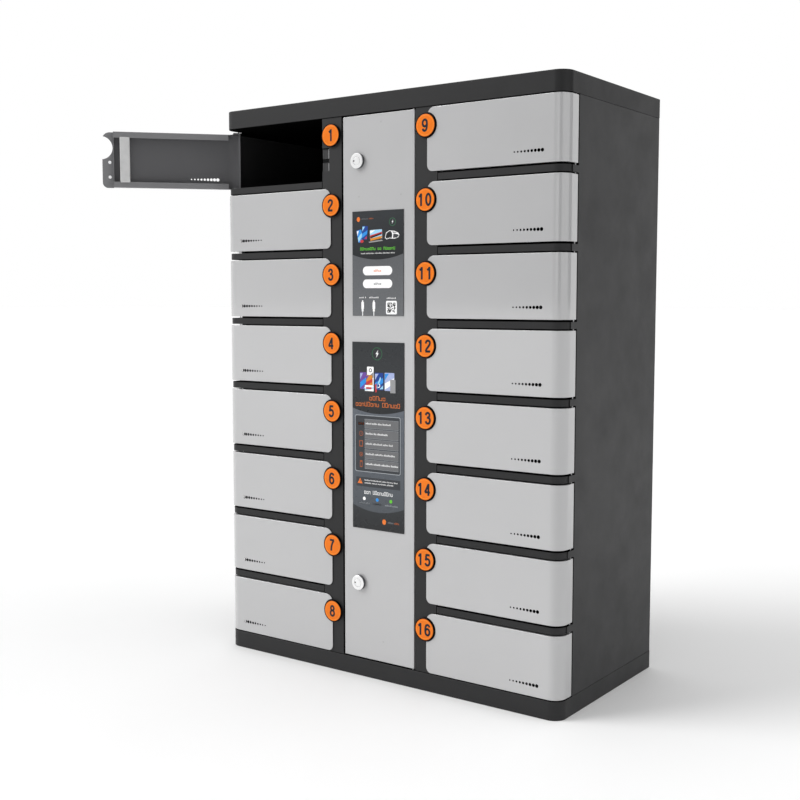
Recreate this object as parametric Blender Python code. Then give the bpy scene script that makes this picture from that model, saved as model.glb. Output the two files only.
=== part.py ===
"""Phone charging kiosk: a free-standing steel cabinet with two banks of eight hinged
compartments either side of a locked service door that carries the screen.

Dimensions are millimetres in cabinet coordinates: x from the left side, y from the
front of the doors towards the back, z from the floor. W() turns them into Blender's
metres with the origin on the floor at the middle of the footprint, front facing -Y.
"""
import math

import bmesh
import bpy
from mathutils import Matrix, Vector

MM = 0.001

# ---- driving dimensions ------------------------------------------------------
WIDTH, HEIGHT, DEPTH = 900.0, 1275.0, 434.0
CORNER_R = 28.0            # front vertical corners
SHEET = 1.2                # folded steel sheet
SIDE_SHEET = 1.0
PLINTH_H = 39.5
HEADER_Z = 1233.6          # underside of the top cover
ROWS = 8
PITCH = 151.4
DOOR_H = 130.3
DOOR_Z0 = 41.5             # underside of the lowest doors
GAP_BELOW, GAP_ABOVE = 4.2, 3.0   # between a door and the strip below it and above it
STRIP_H = PITCH - DOOR_H - GAP_BELOW - GAP_ABOVE
DOOR_FREE_X = 321.0        # free edge of a left door
PAN_END_X = 295.0
PAN_DEPTH = 16.0
LIP_H = 14.0               # return lip of the door pan
RETURN_Y = 49.5            # rear edge of the door's side return
PIVOT = (3.4, 45.0)        # hinge axis of the left doors
PIN_R, PIN_HOLE_R = 1.2, 1.5
SIDE_EDGE_Y = 53.5         # side panel's front edge beside a door
FACE_Y = 2.2               # front of mullions, strips and service door
OPENING_X = 297.0          # inner side of a compartment mouth
SHELF_END_X = 295.6
MULLION_X1 = 351.5         # mullion's edge at the service bay
BADGE_X, BADGE_DZ, BADGE_R = 324.0, 94.0, 25.0
NOTCH_R = 27.0
LATCH_X1, LATCH_DZ0, LATCH_DZ1 = 316.0, 18.0, 68.0
STUD_X, STUD_DZ, STUD_R = 303.6, (25.5, 60.0), 3.2   # studs of the latch strike
CDOOR_X0, CDOOR_X1 = 354.5, 545.5
CDOOR_Z0, CDOOR_Z1 = 41.5, 1231.6
CDOOR_DEPTH = 20.0
CDOOR_PIVOT = (541.0, 6.5)
LOCK_X, LOCK_Z = 398.0, (1135.0, 212.0)
LOCK_R, LOCK_FACE_Y = 16.5, -5.8
INNER_BACK_Y = 385.0
DOOR_01_OPEN = 132.5       # door 1 stands open at rest, degrees

# ---- scene set-up --------------------------------------------------------------
for old in list(bpy.data.objects):
    bpy.data.objects.remove(old, do_unlink=True)

KIOSK = bpy.data.collections.new("phone_charging_kiosk")
CUTTERS = bpy.data.collections.new("cutters")
for coll in (KIOSK, CUTTERS):
    bpy.context.scene.collection.children.link(coll)

MATERIALS = {}


def material(name, rgb, roughness, metallic=0.0):
    mat = bpy.data.materials.new(name)
    mat.use_nodes = True
    bsdf = mat.node_tree.nodes["Principled BSDF"]
    bsdf.inputs["Base Color"].default_value = (*rgb, 1.0)
    bsdf.inputs["Roughness"].default_value = roughness
    bsdf.inputs["Metallic"].default_value = metallic
    mat.diffuse_color = (*rgb, 1.0)
    MATERIALS[name] = mat


material("black_powder_coat", (0.035, 0.035, 0.037), 0.55)
material("grey_door_paint", (0.55, 0.55, 0.56), 0.45)
material("dark_plastic", (0.02, 0.02, 0.022), 0.5)
material("orange_badge", (0.9, 0.27, 0.05), 0.35)
material("zinc_steel", (0.62, 0.62, 0.6), 0.35, 1.0)
material("chrome", (0.85, 0.85, 0.86), 0.12, 1.0)
material("screen_glass", (0.02, 0.022, 0.025), 0.08)
material("printed_panel", (0.06, 0.065, 0.07), 0.25)


def W(x, y, z):
    return Vector(((x - WIDTH / 2) * MM, (y - DEPTH / 2) * MM, z * MM))


# ---- modelling helpers -----------------------------------------------------------
def finish_mesh(bm, name):
    bmesh.ops.remove_doubles(bm, verts=bm.verts, dist=1e-6)
    bmesh.ops.recalc_face_normals(bm, faces=bm.faces)
    mesh = bpy.data.meshes.new(name)
    bm.to_mesh(mesh)
    bm.free()
    return mesh


def place(mesh, name, origin=None, collection=KIOSK):
    """An object for a mesh whose points are world metres; its own origin goes to `origin`."""
    at = W(*origin) if origin else Vector((0, 0, 0))
    mesh.transform(Matrix.Translation(-at))
    obj = bpy.data.objects.new(name, mesh)
    obj.location = at
    collection.objects.link(obj)
    if collection is CUTTERS:
        obj.hide_render = True
        obj.display_type = "WIRE"
    return obj


def prism_mesh(outline, z0, z1, name="prism"):
    """A flat outline seen from above, raised from z0 to z1."""
    curve = bpy.data.curves.new(name, "CURVE")
    curve.dimensions = "2D"
    curve.fill_mode = "BOTH"
    curve.extrude = (z1 - z0) / 2 * MM
    spline = curve.splines.new("POLY")
    spline.points.add(len(outline) - 1)
    for point, (x, y) in zip(spline.points, outline):
        w = W(x, y, 0)
        point.co = (w.x, w.y, 0.0, 1.0)
    spline.use_cyclic_u = True
    holder = bpy.data.objects.new(name, curve)
    holder.location.z = (z0 + z1) / 2 * MM
    bpy.context.scene.collection.objects.link(holder)
    bpy.context.view_layer.update()
    graph = bpy.context.evaluated_depsgraph_get()
    mesh = bpy.data.meshes.new_from_object(holder.evaluated_get(graph))
    mesh.transform(holder.matrix_world)
    bpy.data.objects.remove(holder, do_unlink=True)
    bpy.data.curves.remove(curve)
    bm = bmesh.new()
    bm.from_mesh(mesh)
    bpy.data.meshes.remove(mesh)
    return finish_mesh(bm, name)


def box_mesh(x0, x1, y0, y1, z0, z1, name="box"):
    bm = bmesh.new()
    bmesh.ops.create_cube(bm, size=1.0)
    lo, hi = W(x0, y0, z0), W(x1, y1, z1)
    size, mid = hi - lo, (hi + lo) / 2
    bmesh.ops.scale(bm, vec=size, verts=bm.verts)
    bmesh.ops.translate(bm, vec=mid, verts=bm.verts)
    return finish_mesh(bm, name)


def rod_mesh(centre, axis, a0, a1, radius, sides=12, name="rod", radius2=None):
    """A cylinder or cone along 'X', 'Y' or 'Z' from a0 to a1; centre gives the other two coordinates."""
    bm = bmesh.new()
    bmesh.ops.create_cone(bm, cap_ends=True, segments=sides, radius1=radius * MM,
                          radius2=(radius if radius2 is None else radius2) * MM,
                          depth=abs(a1 - a0) * MM)
    bmesh.ops.rotate(bm, verts=bm.verts, cent=(0, 0, 0),
                     matrix=Matrix.Rotation(math.pi / sides, 3, "Z"))
    turn = {"Z": Matrix.Identity(3), "X": Matrix.Rotation(math.pi / 2, 3, "Y"),
            "Y": Matrix.Rotation(-math.pi / 2, 3, "X")}[axis]
    bmesh.ops.rotate(bm, verts=bm.verts, cent=(0, 0, 0), matrix=turn)
    mid = (a0 + a1) / 2
    x, y, z = {"X": (mid, *centre), "Y": (centre[0], mid, centre[1]), "Z": (*centre, mid)}[axis]
    bmesh.ops.translate(bm, vec=W(x, y, z), verts=bm.verts)
    return finish_mesh(bm, name)


def merged(meshes, name="tools"):
    """Several closed shapes in one mesh, for use as one Boolean operand."""
    bm = bmesh.new()
    for mesh in meshes:
        bm.from_mesh(mesh)
        bpy.data.meshes.remove(mesh)
    mesh = bpy.data.meshes.new(name)
    bm.to_mesh(mesh)
    bm.free()
    return mesh


def combine(mesh, operation, meshes):
    """mesh cut by, or joined with, each list of shapes in turn. Returns the new mesh."""
    target = place(mesh, "target", collection=CUTTERS)
    tool = place(merged(meshes), "tool", collection=CUTTERS)
    mod = target.modifiers.new("cut", "BOOLEAN")
    mod.operation = operation
    mod.object = tool
    bpy.context.view_layer.update()
    graph = bpy.context.evaluated_depsgraph_get()
    made = bpy.data.meshes.new_from_object(target.evaluated_get(graph))
    for obj in (target, tool):
        bpy.data.objects.remove(obj, do_unlink=True)
    bm = bmesh.new()
    bm.from_mesh(made)
    bmesh.ops.dissolve_limit(bm, angle_limit=math.radians(0.05), verts=bm.verts, edges=bm.edges)
    bm.to_mesh(made)
    bm.free()
    return made


def cut(mesh, *meshes):
    return combine(mesh, "DIFFERENCE", meshes)


def join(mesh, *meshes):
    return combine(mesh, "UNION", meshes)


def mirrored(mesh, name):
    """The same piece for the other side of the cabinet (world X reversed)."""
    copy = mesh.copy()
    copy.name = name
    copy.transform(Matrix.Scale(-1, 4, (1, 0, 0)))
    copy.flip_normals()
    return copy


def dress(obj, mat):
    obj.data.materials.clear()
    obj.data.materials.append(MATERIALS[mat])
    obj.data.shade_smooth()
    obj.data.set_sharp_from_angle(angle=math.radians(30))
    return obj


def node(mesh, name, mat, origin=None):
    mesh.name = name
    return dress(place(mesh, name, origin), mat)


def arc(cx, cy, r, a0, a1, steps):
    """Points of an arc, angles in degrees."""
    return [(cx + r * math.cos(math.radians(a0 + (a1 - a0) * i / steps)),
             cy + r * math.sin(math.radians(a0 + (a1 - a0) * i / steps))) for i in range(steps + 1)]


def rounded_plan(inset):
    """Outline of the cabinet from above with its two rounded front corners."""
    r = CORNER_R - inset
    return ([(inset, DEPTH - inset)] + arc(CORNER_R, CORNER_R, r, 180, 270, 8)
            + arc(WIDTH - CORNER_R, CORNER_R, r, 270, 360, 8) + [(WIDTH - inset, DEPTH - inset)])


def door_z(row):
    """Underside of the door in a row, 0 at the top."""
    return DOOR_Z0 + (ROWS - 1 - row) * PITCH


# ---- base and top ------------------------------------------------------------------
pivot_x = (PIVOT[0], WIDTH - PIVOT[0])

base = prism_mesh(rounded_plan(0), 0, PLINTH_H)
base = cut(base, prism_mesh(rounded_plan(SHEET), SHEET, PLINTH_H - SHEET))
base = cut(base, box_mesh(320, 580, 60, 340, PLINTH_H - 5, PLINTH_H + 5),
           *[rod_mesh((x, PIVOT[1]), "Z", PLINTH_H - 5, PLINTH_H + 5, PIN_HOLE_R, 8) for x in pivot_x],
           rod_mesh(CDOOR_PIVOT, "Z", PLINTH_H - 5, PLINTH_H + 5, 2.9, 12))
node(base, "base_plinth", "black_powder_coat")

top = prism_mesh(rounded_plan(0), HEADER_Z, HEIGHT)
top = cut(top, prism_mesh(rounded_plan(SHEET), HEADER_Z + SHEET, HEIGHT - SHEET))
top = cut(top, box_mesh(320, 580, 60, 400, HEADER_Z - 5, HEADER_Z + 5),
          *[rod_mesh((x, PIVOT[1]), "Z", HEADER_Z - 5, HEADER_Z + 5, PIN_HOLE_R, 8) for x in pivot_x],
          rod_mesh(CDOOR_PIVOT, "Z", HEADER_Z - 5, HEADER_Z + 5, 2.9, 12))
node(top, "top_cover", "black_powder_coat")

# ---- side panels: castellated front edge, doors wrap into the cut-outs ---------------
z_lo, z_hi = PLINTH_H + 0.3, HEADER_Z - 0.3
side = prism_mesh([(0, CORNER_R + 0.6), (SIDE_SHEET, CORNER_R + 0.6), (SIDE_SHEET, 431.1),
                   (18, 431.1), (18, 432.3), (0, 432.3)], z_lo, z_hi)
side = cut(side, *[box_mesh(-5, 8, 10, SIDE_EDGE_Y,
                            -60 if row == ROWS - 1 else door_z(row) - GAP_BELOW,
                            HEIGHT + 60 if row == 0 else door_z(row) + DOOR_H + GAP_ABOVE)
                   for row in range(ROWS)])
side_right = mirrored(side, "side_panel_right")
node(side, "side_panel_left", "black_powder_coat")
node(side_right, "side_panel_right", "black_powder_coat")

# ---- mullions between the banks and the service bay ------------------------------------
m_lo, m_hi = PLINTH_H + 0.3, HEADER_Z - 0.3
mullion = prism_mesh([(OPENING_X, FACE_Y), (MULLION_X1, FACE_Y), (MULLION_X1, 27), (MULLION_X1 - SHEET, 27),
                      (MULLION_X1 - SHEET, FACE_Y + SHEET), (OPENING_X + SHEET, FACE_Y + SHEET),
                      (OPENING_X + SHEET, 20), (OPENING_X, 20)], m_lo, m_hi)
mullion = cut(mullion,
              *[box_mesh(290, LATCH_X1, -5, 25, door_z(r) + LATCH_DZ0, door_z(r) + LATCH_DZ1) for r in range(ROWS)],
              *[rod_mesh((BADGE_X, door_z(r) + BADGE_DZ), "Y", -5, 12, 7.0, 8) for r in range(ROWS)])
mullion_right = mirrored(mullion, "mullion_right")
node(mullion, "mullion_left", "black_powder_coat")
node(mullion_right, "mullion_right", "black_powder_coat")

# ---- partitions, inner backs, rear panel -------------------------------------------------
partition = box_mesh(OPENING_X, OPENING_X + SHEET, 20.5, 432.3, m_lo, m_hi)
partition = cut(partition, *[box_mesh(290, 305, 396, 424, z, z + 40) for z in (100, 620, 1140)])
partition_right = mirrored(partition, "partition_right")
node(partition, "partition_left", "black_powder_coat")
node(partition_right, "partition_right", "black_powder_coat")

inner = box_mesh(1.5, OPENING_X - 0.4, INNER_BACK_Y, INNER_BACK_Y + SHEET, m_lo, m_hi)
inner = cut(inner, *[box_mesh(130, 170, 370, 400, door_z(r) + 55, door_z(r) + 72) for r in range(ROWS)])
inner_right = mirrored(inner, "inner_back_right")
node(inner, "inner_back_left", "black_powder_coat")
node(inner_right, "inner_back_right", "black_powder_coat")

FAN_X, FAN_Z = 450.0, 1110.0
INLET_X, INLET_Z = 575.0, 100.0
rear = box_mesh(1.5, WIDTH - 1.5, 432.8, DEPTH, m_lo, m_hi)
slots = []
for i in range(-3, 4):
    half = math.sqrt(42 ** 2 - (i * 11) ** 2)
    slots.append(box_mesh(FAN_X + i * 11 - 3, FAN_X + i * 11 + 3, 425, 440, FAN_Z - half, FAN_Z + half))
for x in (90, 690):
    for z in (130, 1090):
        for i in range(4):
            slots.append(box_mesh(x, x + 120, 425, 440, z + i * 14, z + i * 14 + 5))
slots.append(box_mesh(INLET_X - 14.5, INLET_X + 14.5, 425, 440, INLET_Z - 26.5, INLET_Z + 26.5))
rear = cut(rear, *slots)
node(rear, "rear_panel", "black_powder_coat")

# ---- shelves with their front strips ---------------------------------------------------------
shelf_r = CORNER_R - FACE_Y
shelf_outline = ([(SHELF_END_X, FACE_Y), (SHELF_END_X, INNER_BACK_Y - 0.4), (1.4, INNER_BACK_Y - 0.4),
                  (1.4, CORNER_R + 0.2), (FACE_Y, CORNER_R + 0.2)] + arc(CORNER_R, CORNER_R, shelf_r, 180, 270, 6))
pocket_r = shelf_r - SHEET
shelf_pocket = ([(OPENING_X + 5, FACE_Y + SHEET), (OPENING_X + 5, 400), (-10, 400), (-10, CORNER_R + 8),
                 (FACE_Y + SHEET, CORNER_R + 8)] + arc(CORNER_R, CORNER_R, pocket_r, 180, 270, 6))
shelf = prism_mesh(shelf_outline, 0, STRIP_H)
shelf = cut(shelf, prism_mesh(shelf_pocket, SHEET, STRIP_H - SHEET))
shelf = cut(shelf, box_mesh(-20, 320, 62, 420, -5, STRIP_H - SHEET - 2))
shelf = cut(shelf, rod_mesh(PIVOT, "Z", -5, STRIP_H + 5, PIN_HOLE_R, 8))
shelf_right = mirrored(shelf, "shelf_right")
for i in range(ROWS - 1):
    z = door_z(i) - GAP_BELOW - STRIP_H
    for side_name, mesh in (("left", shelf), ("right", shelf_right)):
        obj = bpy.data.objects.new(f"shelf_{side_name}_{i + 1}", mesh)
        obj.location.z = z * MM
        KIOSK.objects.link(obj)
        dress(obj, "black_powder_coat")

# ---- compartment doors ------------------------------------------------------------------------
skin_r = CORNER_R - SHEET
pan_r = CORNER_R - PAN_DEPTH
door_outline = ([(DOOR_FREE_X, 0), (DOOR_FREE_X, SHEET), (PAN_END_X, SHEET), (PAN_END_X, PAN_DEPTH)]
                + arc(CORNER_R, CORNER_R, pan_r, 270, 180, 4)
                + [(PAN_DEPTH, RETURN_Y), (0, RETURN_Y)] + arc(CORNER_R, CORNER_R, CORNER_R, 180, 270, 8))
door_pocket = ([(PAN_END_X - SHEET, SHEET), (PAN_END_X - SHEET, PAN_DEPTH - SHEET), (26, PAN_DEPTH - SHEET),
                (26, 70), (SHEET, 70)] + arc(CORNER_R, CORNER_R, skin_r, 180, 270, 8))
door = prism_mesh(door_outline, 0, DOOR_H)
door = cut(door, prism_mesh(door_pocket, SHEET, DOOR_H - SHEET))
door = cut(door, box_mesh(25, PAN_END_X - SHEET, PAN_DEPTH - SHEET - 2, 80, LIP_H, DOOR_H - LIP_H))


def corner_cutter(x, z, r, up):
    """What rounding a free corner takes away: a square less its quarter circle, through the lip."""
    bm = bmesh.new()
    sign = 1 if up else -1
    cz = z - sign * r
    outline = [(x + 6, cz), (x + 6, z + sign * 6), (x - r, z + sign * 6)]
    outline += [(x - r + r * math.cos(math.radians(90 - a)), cz + sign * r * math.sin(math.radians(90 - a)))
                for a in (0, 22.5, 45, 67.5, 90)]
    front = [bm.verts.new(W(px, -4, pz)) for px, pz in outline]
    face = bm.faces.new(front)
    made = bmesh.ops.extrude_face_region(bm, geom=[face])
    bmesh.ops.translate(bm, vec=(0, 10 * MM, 0),
                        verts=[v for v in made["geom"] if isinstance(v, bmesh.types.BMVert)])
    return finish_mesh(bm, "corner")


VENTS = 9
vents = [rod_mesh((51.5 + 7.8 * i, 24.2), "Y", -4, 6, 3.4 - 0.3 * i, 4) for i in range(VENTS)]
door = cut(door, corner_cutter(DOOR_FREE_X, DOOR_H, 18, True), corner_cutter(DOOR_FREE_X, 0, 13, False), *vents)
door = cut(door, rod_mesh((BADGE_X, BADGE_DZ), "Y", -6, 8, NOTCH_R, 24))
pins = [rod_mesh(PIVOT, "Z", -GAP_BELOW - 1.8, 0.7, PIN_R, 6),
        rod_mesh(PIVOT, "Z", DOOR_H - 0.7, DOOR_H + GAP_ABOVE + 1.8, PIN_R, 6)]
studs = [rod_mesh((STUD_X, dz), "Y", 0.6, 4.6, STUD_R, 6) for dz in STUD_DZ]
door = join(door, *pins, *studs, box_mesh(257, 280, 0.7, 18.0, 12.5, 118.5))
door_right = mirrored(door, "door_right")
pivot_left, pivot_right = W(*PIVOT, 0), W(WIDTH - PIVOT[0], PIVOT[1], 0)
door.transform(Matrix.Translation(-pivot_left))
door_right.transform(Matrix.Translation(-pivot_right))
for i in range(2 * ROWS):
    left = i < ROWS
    at = pivot_left if left else pivot_right
    obj = bpy.data.objects.new(f"door_{i + 1:02d}", door if left else door_right)
    obj.location = (at.x, at.y, door_z(i % ROWS) * MM)
    if i == 0:
        obj.rotation_euler.z = -math.radians(DOOR_01_OPEN)
    KIOSK.objects.link(obj)
    dress(obj, "grey_door_paint")

# ---- number badges on their LED carrier strips -------------------------------------------------
strip = box_mesh(330, 345, 6.0, 8.0, door_z(7) + 10, door_z(0) + 118)
strip = join(strip, *[box_mesh(314, 332, 6.3, 7.7, door_z(r) + BADGE_DZ - 11, door_z(r) + BADGE_DZ + 11)
                      for r in range(ROWS)])
strip = join(strip, *[rod_mesh((BADGE_X, door_z(r) + BADGE_DZ), "Y", 1.0, 7.0, 5.5, 6) for r in range(ROWS)])
strip = join(strip, *[rod_mesh((BADGE_X, door_z(r) + BADGE_DZ), "Y", -3.4, 1.8, BADGE_R, 20) for r in range(ROWS)])
strip_right = mirrored(strip, "badge_strip_right")
node(strip, "badge_strip_left", "orange_badge")
node(strip_right, "badge_strip_right", "orange_badge")

# ---- latch rails ---------------------------------------------------------------------------------
rail = box_mesh(324.5, 326.5, 12, 28, door_z(7) + 5, door_z(0) + 100)
rail = join(rail, *[box_mesh(299, 325.5, 4.2, 29, door_z(r) + 15, door_z(r) + 71) for r in range(ROWS)])
rail = cut(rail, *[box_mesh(290, LATCH_X1, 0, 5.6, door_z(r) + a, door_z(r) + b)
                   for r in range(ROWS) for a, b in ((18, 37.4), (45.2, 68))])
rail_right = mirrored(rail, "latch_rail_right")
node(rail, "latch_rail_left", "dark_plastic")
node(rail_right, "latch_rail_right", "dark_plastic")

# ---- service door ------------------------------------------------------------------------------------
cdoor = box_mesh(CDOOR_X0, CDOOR_X1, FACE_Y, FACE_Y + CDOOR_DEPTH, CDOOR_Z0, CDOOR_Z1)
cdoor = cut(cdoor, box_mesh(CDOOR_X0 + SHEET, CDOOR_X1 - SHEET, FACE_Y + SHEET, 60, CDOOR_Z0 + SHEET, CDOOR_Z1 - SHEET))
cdoor = cut(cdoor, box_mesh(385, 515, -5, 10, 807, 1023),
            *[rod_mesh((LOCK_X, z), "Y", -5, 10, 9.6, 16) for z in LOCK_Z])
cdoor = join(cdoor, rod_mesh(CDOOR_PIVOT, "Z", CDOOR_Z1 - 0.7, CDOOR_Z1 + 4.0, 2.2, 12),
             rod_mesh(CDOOR_PIVOT, "Z", CDOOR_Z0 - 4.0, CDOOR_Z0 + 0.7, 2.2, 12))
node(cdoor, "service_door", "grey_door_paint", origin=(*CDOOR_PIVOT, 0))

screen = box_mesh(381.5, 518.5, 0.9, 1.9, 802.8, 1027.5)
screen = join(screen, box_mesh(387, 513, 1.4, 30, 809, 1021))
node(screen, "touchscreen", "screen_glass")
node(box_mesh(380, 520, 0.9, 1.9, 334.5, 746), "graphic_panel", "printed_panel")

for label, z in (("upper", LOCK_Z[0]), ("lower", LOCK_Z[1])):
    body = rod_mesh((LOCK_X, z), "Y", -5.0, 28.5, 9.2, 16)
    body = join(body, rod_mesh((LOCK_X, z), "Y", LOCK_FACE_Y, 1.9, LOCK_R, 24),
                rod_mesh((LOCK_X, z), "Y", 3.8, 8.0, 13.0, 6))
    body = cut(body, rod_mesh((LOCK_X, z), "Y", -10, 40, 6.2, 16))
    body = cut(body, rod_mesh((LOCK_X, z), "Y", -10, -3.0, 9.4, 16))
    node(body, f"{label}_lock_body", "chrome")
    plug = rod_mesh((LOCK_X, z), "Y", -4.0, 33.0, 5.8, 16)
    plug = join(plug, rod_mesh((LOCK_X, z), "Y", LOCK_FACE_Y - 0.1, -3.3, 9.0, 16),
                box_mesh(LOCK_X - 8, LOCK_X + 8, 29.3, 32.0, z - 58, z + 8))
    plug = cut(plug, rod_mesh((LOCK_X - 6.6, z), "Y", -12, -4.2, 1.4, 8))
    node(plug, f"{label}_lock_cam", "zinc_steel", origin=(LOCK_X, 0, z))

# ---- electronics --------------------------------------------------------------------------------------
psu = box_mesh(390, 510, 382, 430, 120, 335)
psu = cut(psu, box_mesh(398, 502, 376, 396, 115, 138), *[box_mesh(405, 495, 376, 384, 160 + 14 * i, 166 + 14 * i) for i in range(10)])
node(psu, "power_supply", "zinc_steel")

ctrl = box_mesh(370, 530, 400, 430, 860, 1000)
ctrl = cut(ctrl, *[box_mesh(385 + 26 * i, 403 + 26 * i, 396, 412, 852, 874) for i in range(5)])
ctrl = join(ctrl, box_mesh(362, 538, 428, 431, 885, 975))
node(ctrl, "control_box", "dark_plastic")

hub = box_mesh(112, 188, 390, 427, 105, 1185)
hub = cut(hub, *[box_mesh(136 + 16 * j, 148 + 16 * j, 380, 402, door_z(r) + 60, door_z(r) + 67)
                 for r in range(ROWS) for j in range(2)])
hub_right = mirrored(hub, "charger_hub_right")
node(hub, "charger_hub_left", "dark_plastic")
node(hub_right, "charger_hub_right", "dark_plastic")

# ---- mains inlet with its rocker switch --------------------------------------------------------------------
inlet = box_mesh(INLET_X - 13.5, INLET_X + 13.5, 404, 436.0, INLET_Z - 25.5, INLET_Z + 25.5)
inlet = join(inlet, box_mesh(INLET_X - 20, INLET_X + 20, 434.3, 437.0, INLET_Z - 29, INLET_Z + 29))
inlet = cut(inlet, box_mesh(INLET_X - 11.5, INLET_X + 11.5, 418, 450, INLET_Z - 22, INLET_Z - 5),
            box_mesh(INLET_X - 10.5, INLET_X + 10.5, 419, 450, INLET_Z + 1, INLET_Z + 23))
inlet = join(inlet, *[box_mesh(INLET_X + dx - 1, INLET_X + dx + 1, 416, 433, INLET_Z + dz - 2.5, INLET_Z + dz + 2.5)
                      for dx, dz in ((-6.5, -15), (0, -10.5), (6.5, -15))])
node(inlet, "power_inlet", "dark_plastic")

ROCKER = (434.0, INLET_Z + 12.0)
rocker_profile = [(-9.0, 1.5), (0.0, 0.2), (9.0, 1.5), (9.0, -3.0), (4.0, -9.0), (-4.0, -9.0), (-9.0, -3.0)]
bm = bmesh.new()
ring = [bm.verts.new(W(INLET_X - 9.5, ROCKER[0] + 3 + dy, ROCKER[1] + dz)) for dz, dy in rocker_profile]
made = bmesh.ops.extrude_face_region(bm, geom=[bm.faces.new(ring)])
bmesh.ops.translate(bm, vec=(19 * MM, 0, 0), verts=[v for v in made["geom"] if isinstance(v, bmesh.types.BMVert)])
rocker = node(finish_mesh(bm, "rocker"), "power_switch", "dark_plastic", origin=(INLET_X, ROCKER[0], ROCKER[1]))
rocker.rotation_euler.x = math.radians(-7)

# ---- exhaust fan ----------------------------------------------------------------------------------------------
fan = box_mesh(FAN_X - 46, FAN_X + 46, 407, 432.4, FAN_Z - 46, FAN_Z + 46)
fan = cut(fan, rod_mesh((FAN_X, FAN_Z), "Y", 400, 440, 43, 28))
fan = join(fan, box_mesh(FAN_X - 45, FAN_X + 45, 429.2, 431.6, FAN_Z - 3, FAN_Z + 3),
           box_mesh(FAN_X - 3, FAN_X + 3, 429.0, 431.8, FAN_Z - 45, FAN_Z + 45))
fan = join(fan, rod_mesh((FAN_X, FAN_Z), "Y", 428.6, 432.0, 17, 16))
node(fan, "fan_housing", "dark_plastic")

rotor = rod_mesh((FAN_X, FAN_Z), "Y", 409, 427.6, 18, 21)
blades = []
for i in range(7):
    blade = box_mesh(FAN_X - 9, FAN_X + 9, 417.2, 418.8, FAN_Z + 14, FAN_Z + 40.5)
    turn = (Matrix.Translation(W(FAN_X, 418, FAN_Z)) @ Matrix.Rotation(2 * math.pi * i / 7, 4, "Y")
            @ Matrix.Rotation(math.radians(32), 4, "Z") @ Matrix.Translation(-W(FAN_X, 418, FAN_Z)))
    blade.transform(turn)
    blades.append(blade)
rotor = join(rotor, *blades)
node(rotor, "fan_rotor", "dark_plastic", origin=(FAN_X, 418, FAN_Z))

for leftover in list(CUTTERS.objects):
    bpy.data.objects.remove(leftover, do_unlink=True)
bpy.context.view_layer.update()
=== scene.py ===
import math
import random

import bmesh
import bpy
from mathutils import Matrix, Vector


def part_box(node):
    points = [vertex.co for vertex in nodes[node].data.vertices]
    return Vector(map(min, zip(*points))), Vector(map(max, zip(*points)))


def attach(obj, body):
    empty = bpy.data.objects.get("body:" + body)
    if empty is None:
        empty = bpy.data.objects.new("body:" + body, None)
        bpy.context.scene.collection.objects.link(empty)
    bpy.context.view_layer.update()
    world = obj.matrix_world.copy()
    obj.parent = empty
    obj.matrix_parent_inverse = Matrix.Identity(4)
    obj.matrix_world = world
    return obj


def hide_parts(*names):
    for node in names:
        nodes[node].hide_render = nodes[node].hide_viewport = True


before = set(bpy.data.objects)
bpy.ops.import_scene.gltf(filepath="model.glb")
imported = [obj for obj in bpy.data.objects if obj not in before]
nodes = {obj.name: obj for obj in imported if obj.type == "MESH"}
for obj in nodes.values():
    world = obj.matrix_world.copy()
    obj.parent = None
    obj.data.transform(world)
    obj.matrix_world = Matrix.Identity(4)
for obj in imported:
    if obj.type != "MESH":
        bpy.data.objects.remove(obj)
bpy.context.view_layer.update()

MM = 0.001
WIDTH, HEIGHT, DEPTH = 900.0, 1275.0, 434.0

# ------------------------------------------------------------------ dimensions, read off the frame
plinth_lo, plinth_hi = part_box("base_plinth")
PLINTH_H = plinth_hi.z / MM
HEADER_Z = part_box("top_cover")[0].z / MM
PITCH, DOOR_H, DOOR_Z0, GAP_BELOW, GAP_ABOVE = 151.4, 130.3, 41.5, 4.2, 3.0
ROWS = 8
STRIP_H = PITCH - DOOR_H - GAP_BELOW - GAP_ABOVE
CORNER_R, SHEET, FACE_Y = 28.0, 1.2, 2.2
DOOR_FREE_X, PAN_END_X, PAN_DEPTH, LIP_H, RETURN_Y = 321.0, 295.0, 16.0, 14.0, 49.5
PIVOT = (3.4, 45.0)
PIN_R, PIN_HOLE_R = 1.2, 1.5
OPENING_X, SHELF_END_X, MULLION_X1 = 297.0, 295.6, 351.5
BADGE_X, BADGE_DZ, BADGE_R, NOTCH_R = 324.0, 94.0, 25.0, 27.0
STUD_X, STUD_DZ, STUD_R = 303.6, (25.5, 60.0), 2.8
CDOOR_X0, CDOOR_X1, CDOOR_Z0, CDOOR_Z1, CDOOR_DEPTH = 354.5, 545.5, 41.5, 1231.6, 20.0
LOCK_X, LOCK_Z = 398.0, (1135.0, 212.0)
INNER_BACK_Y = 385.0
DOOR_01_OPEN = 132.5


def W(x, y, z):
    return Vector(((x - WIDTH / 2) * MM, (y - DEPTH / 2) * MM, z * MM))


def door_z(row):
    return DOOR_Z0 + (ROWS - 1 - row) * PITCH


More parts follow.
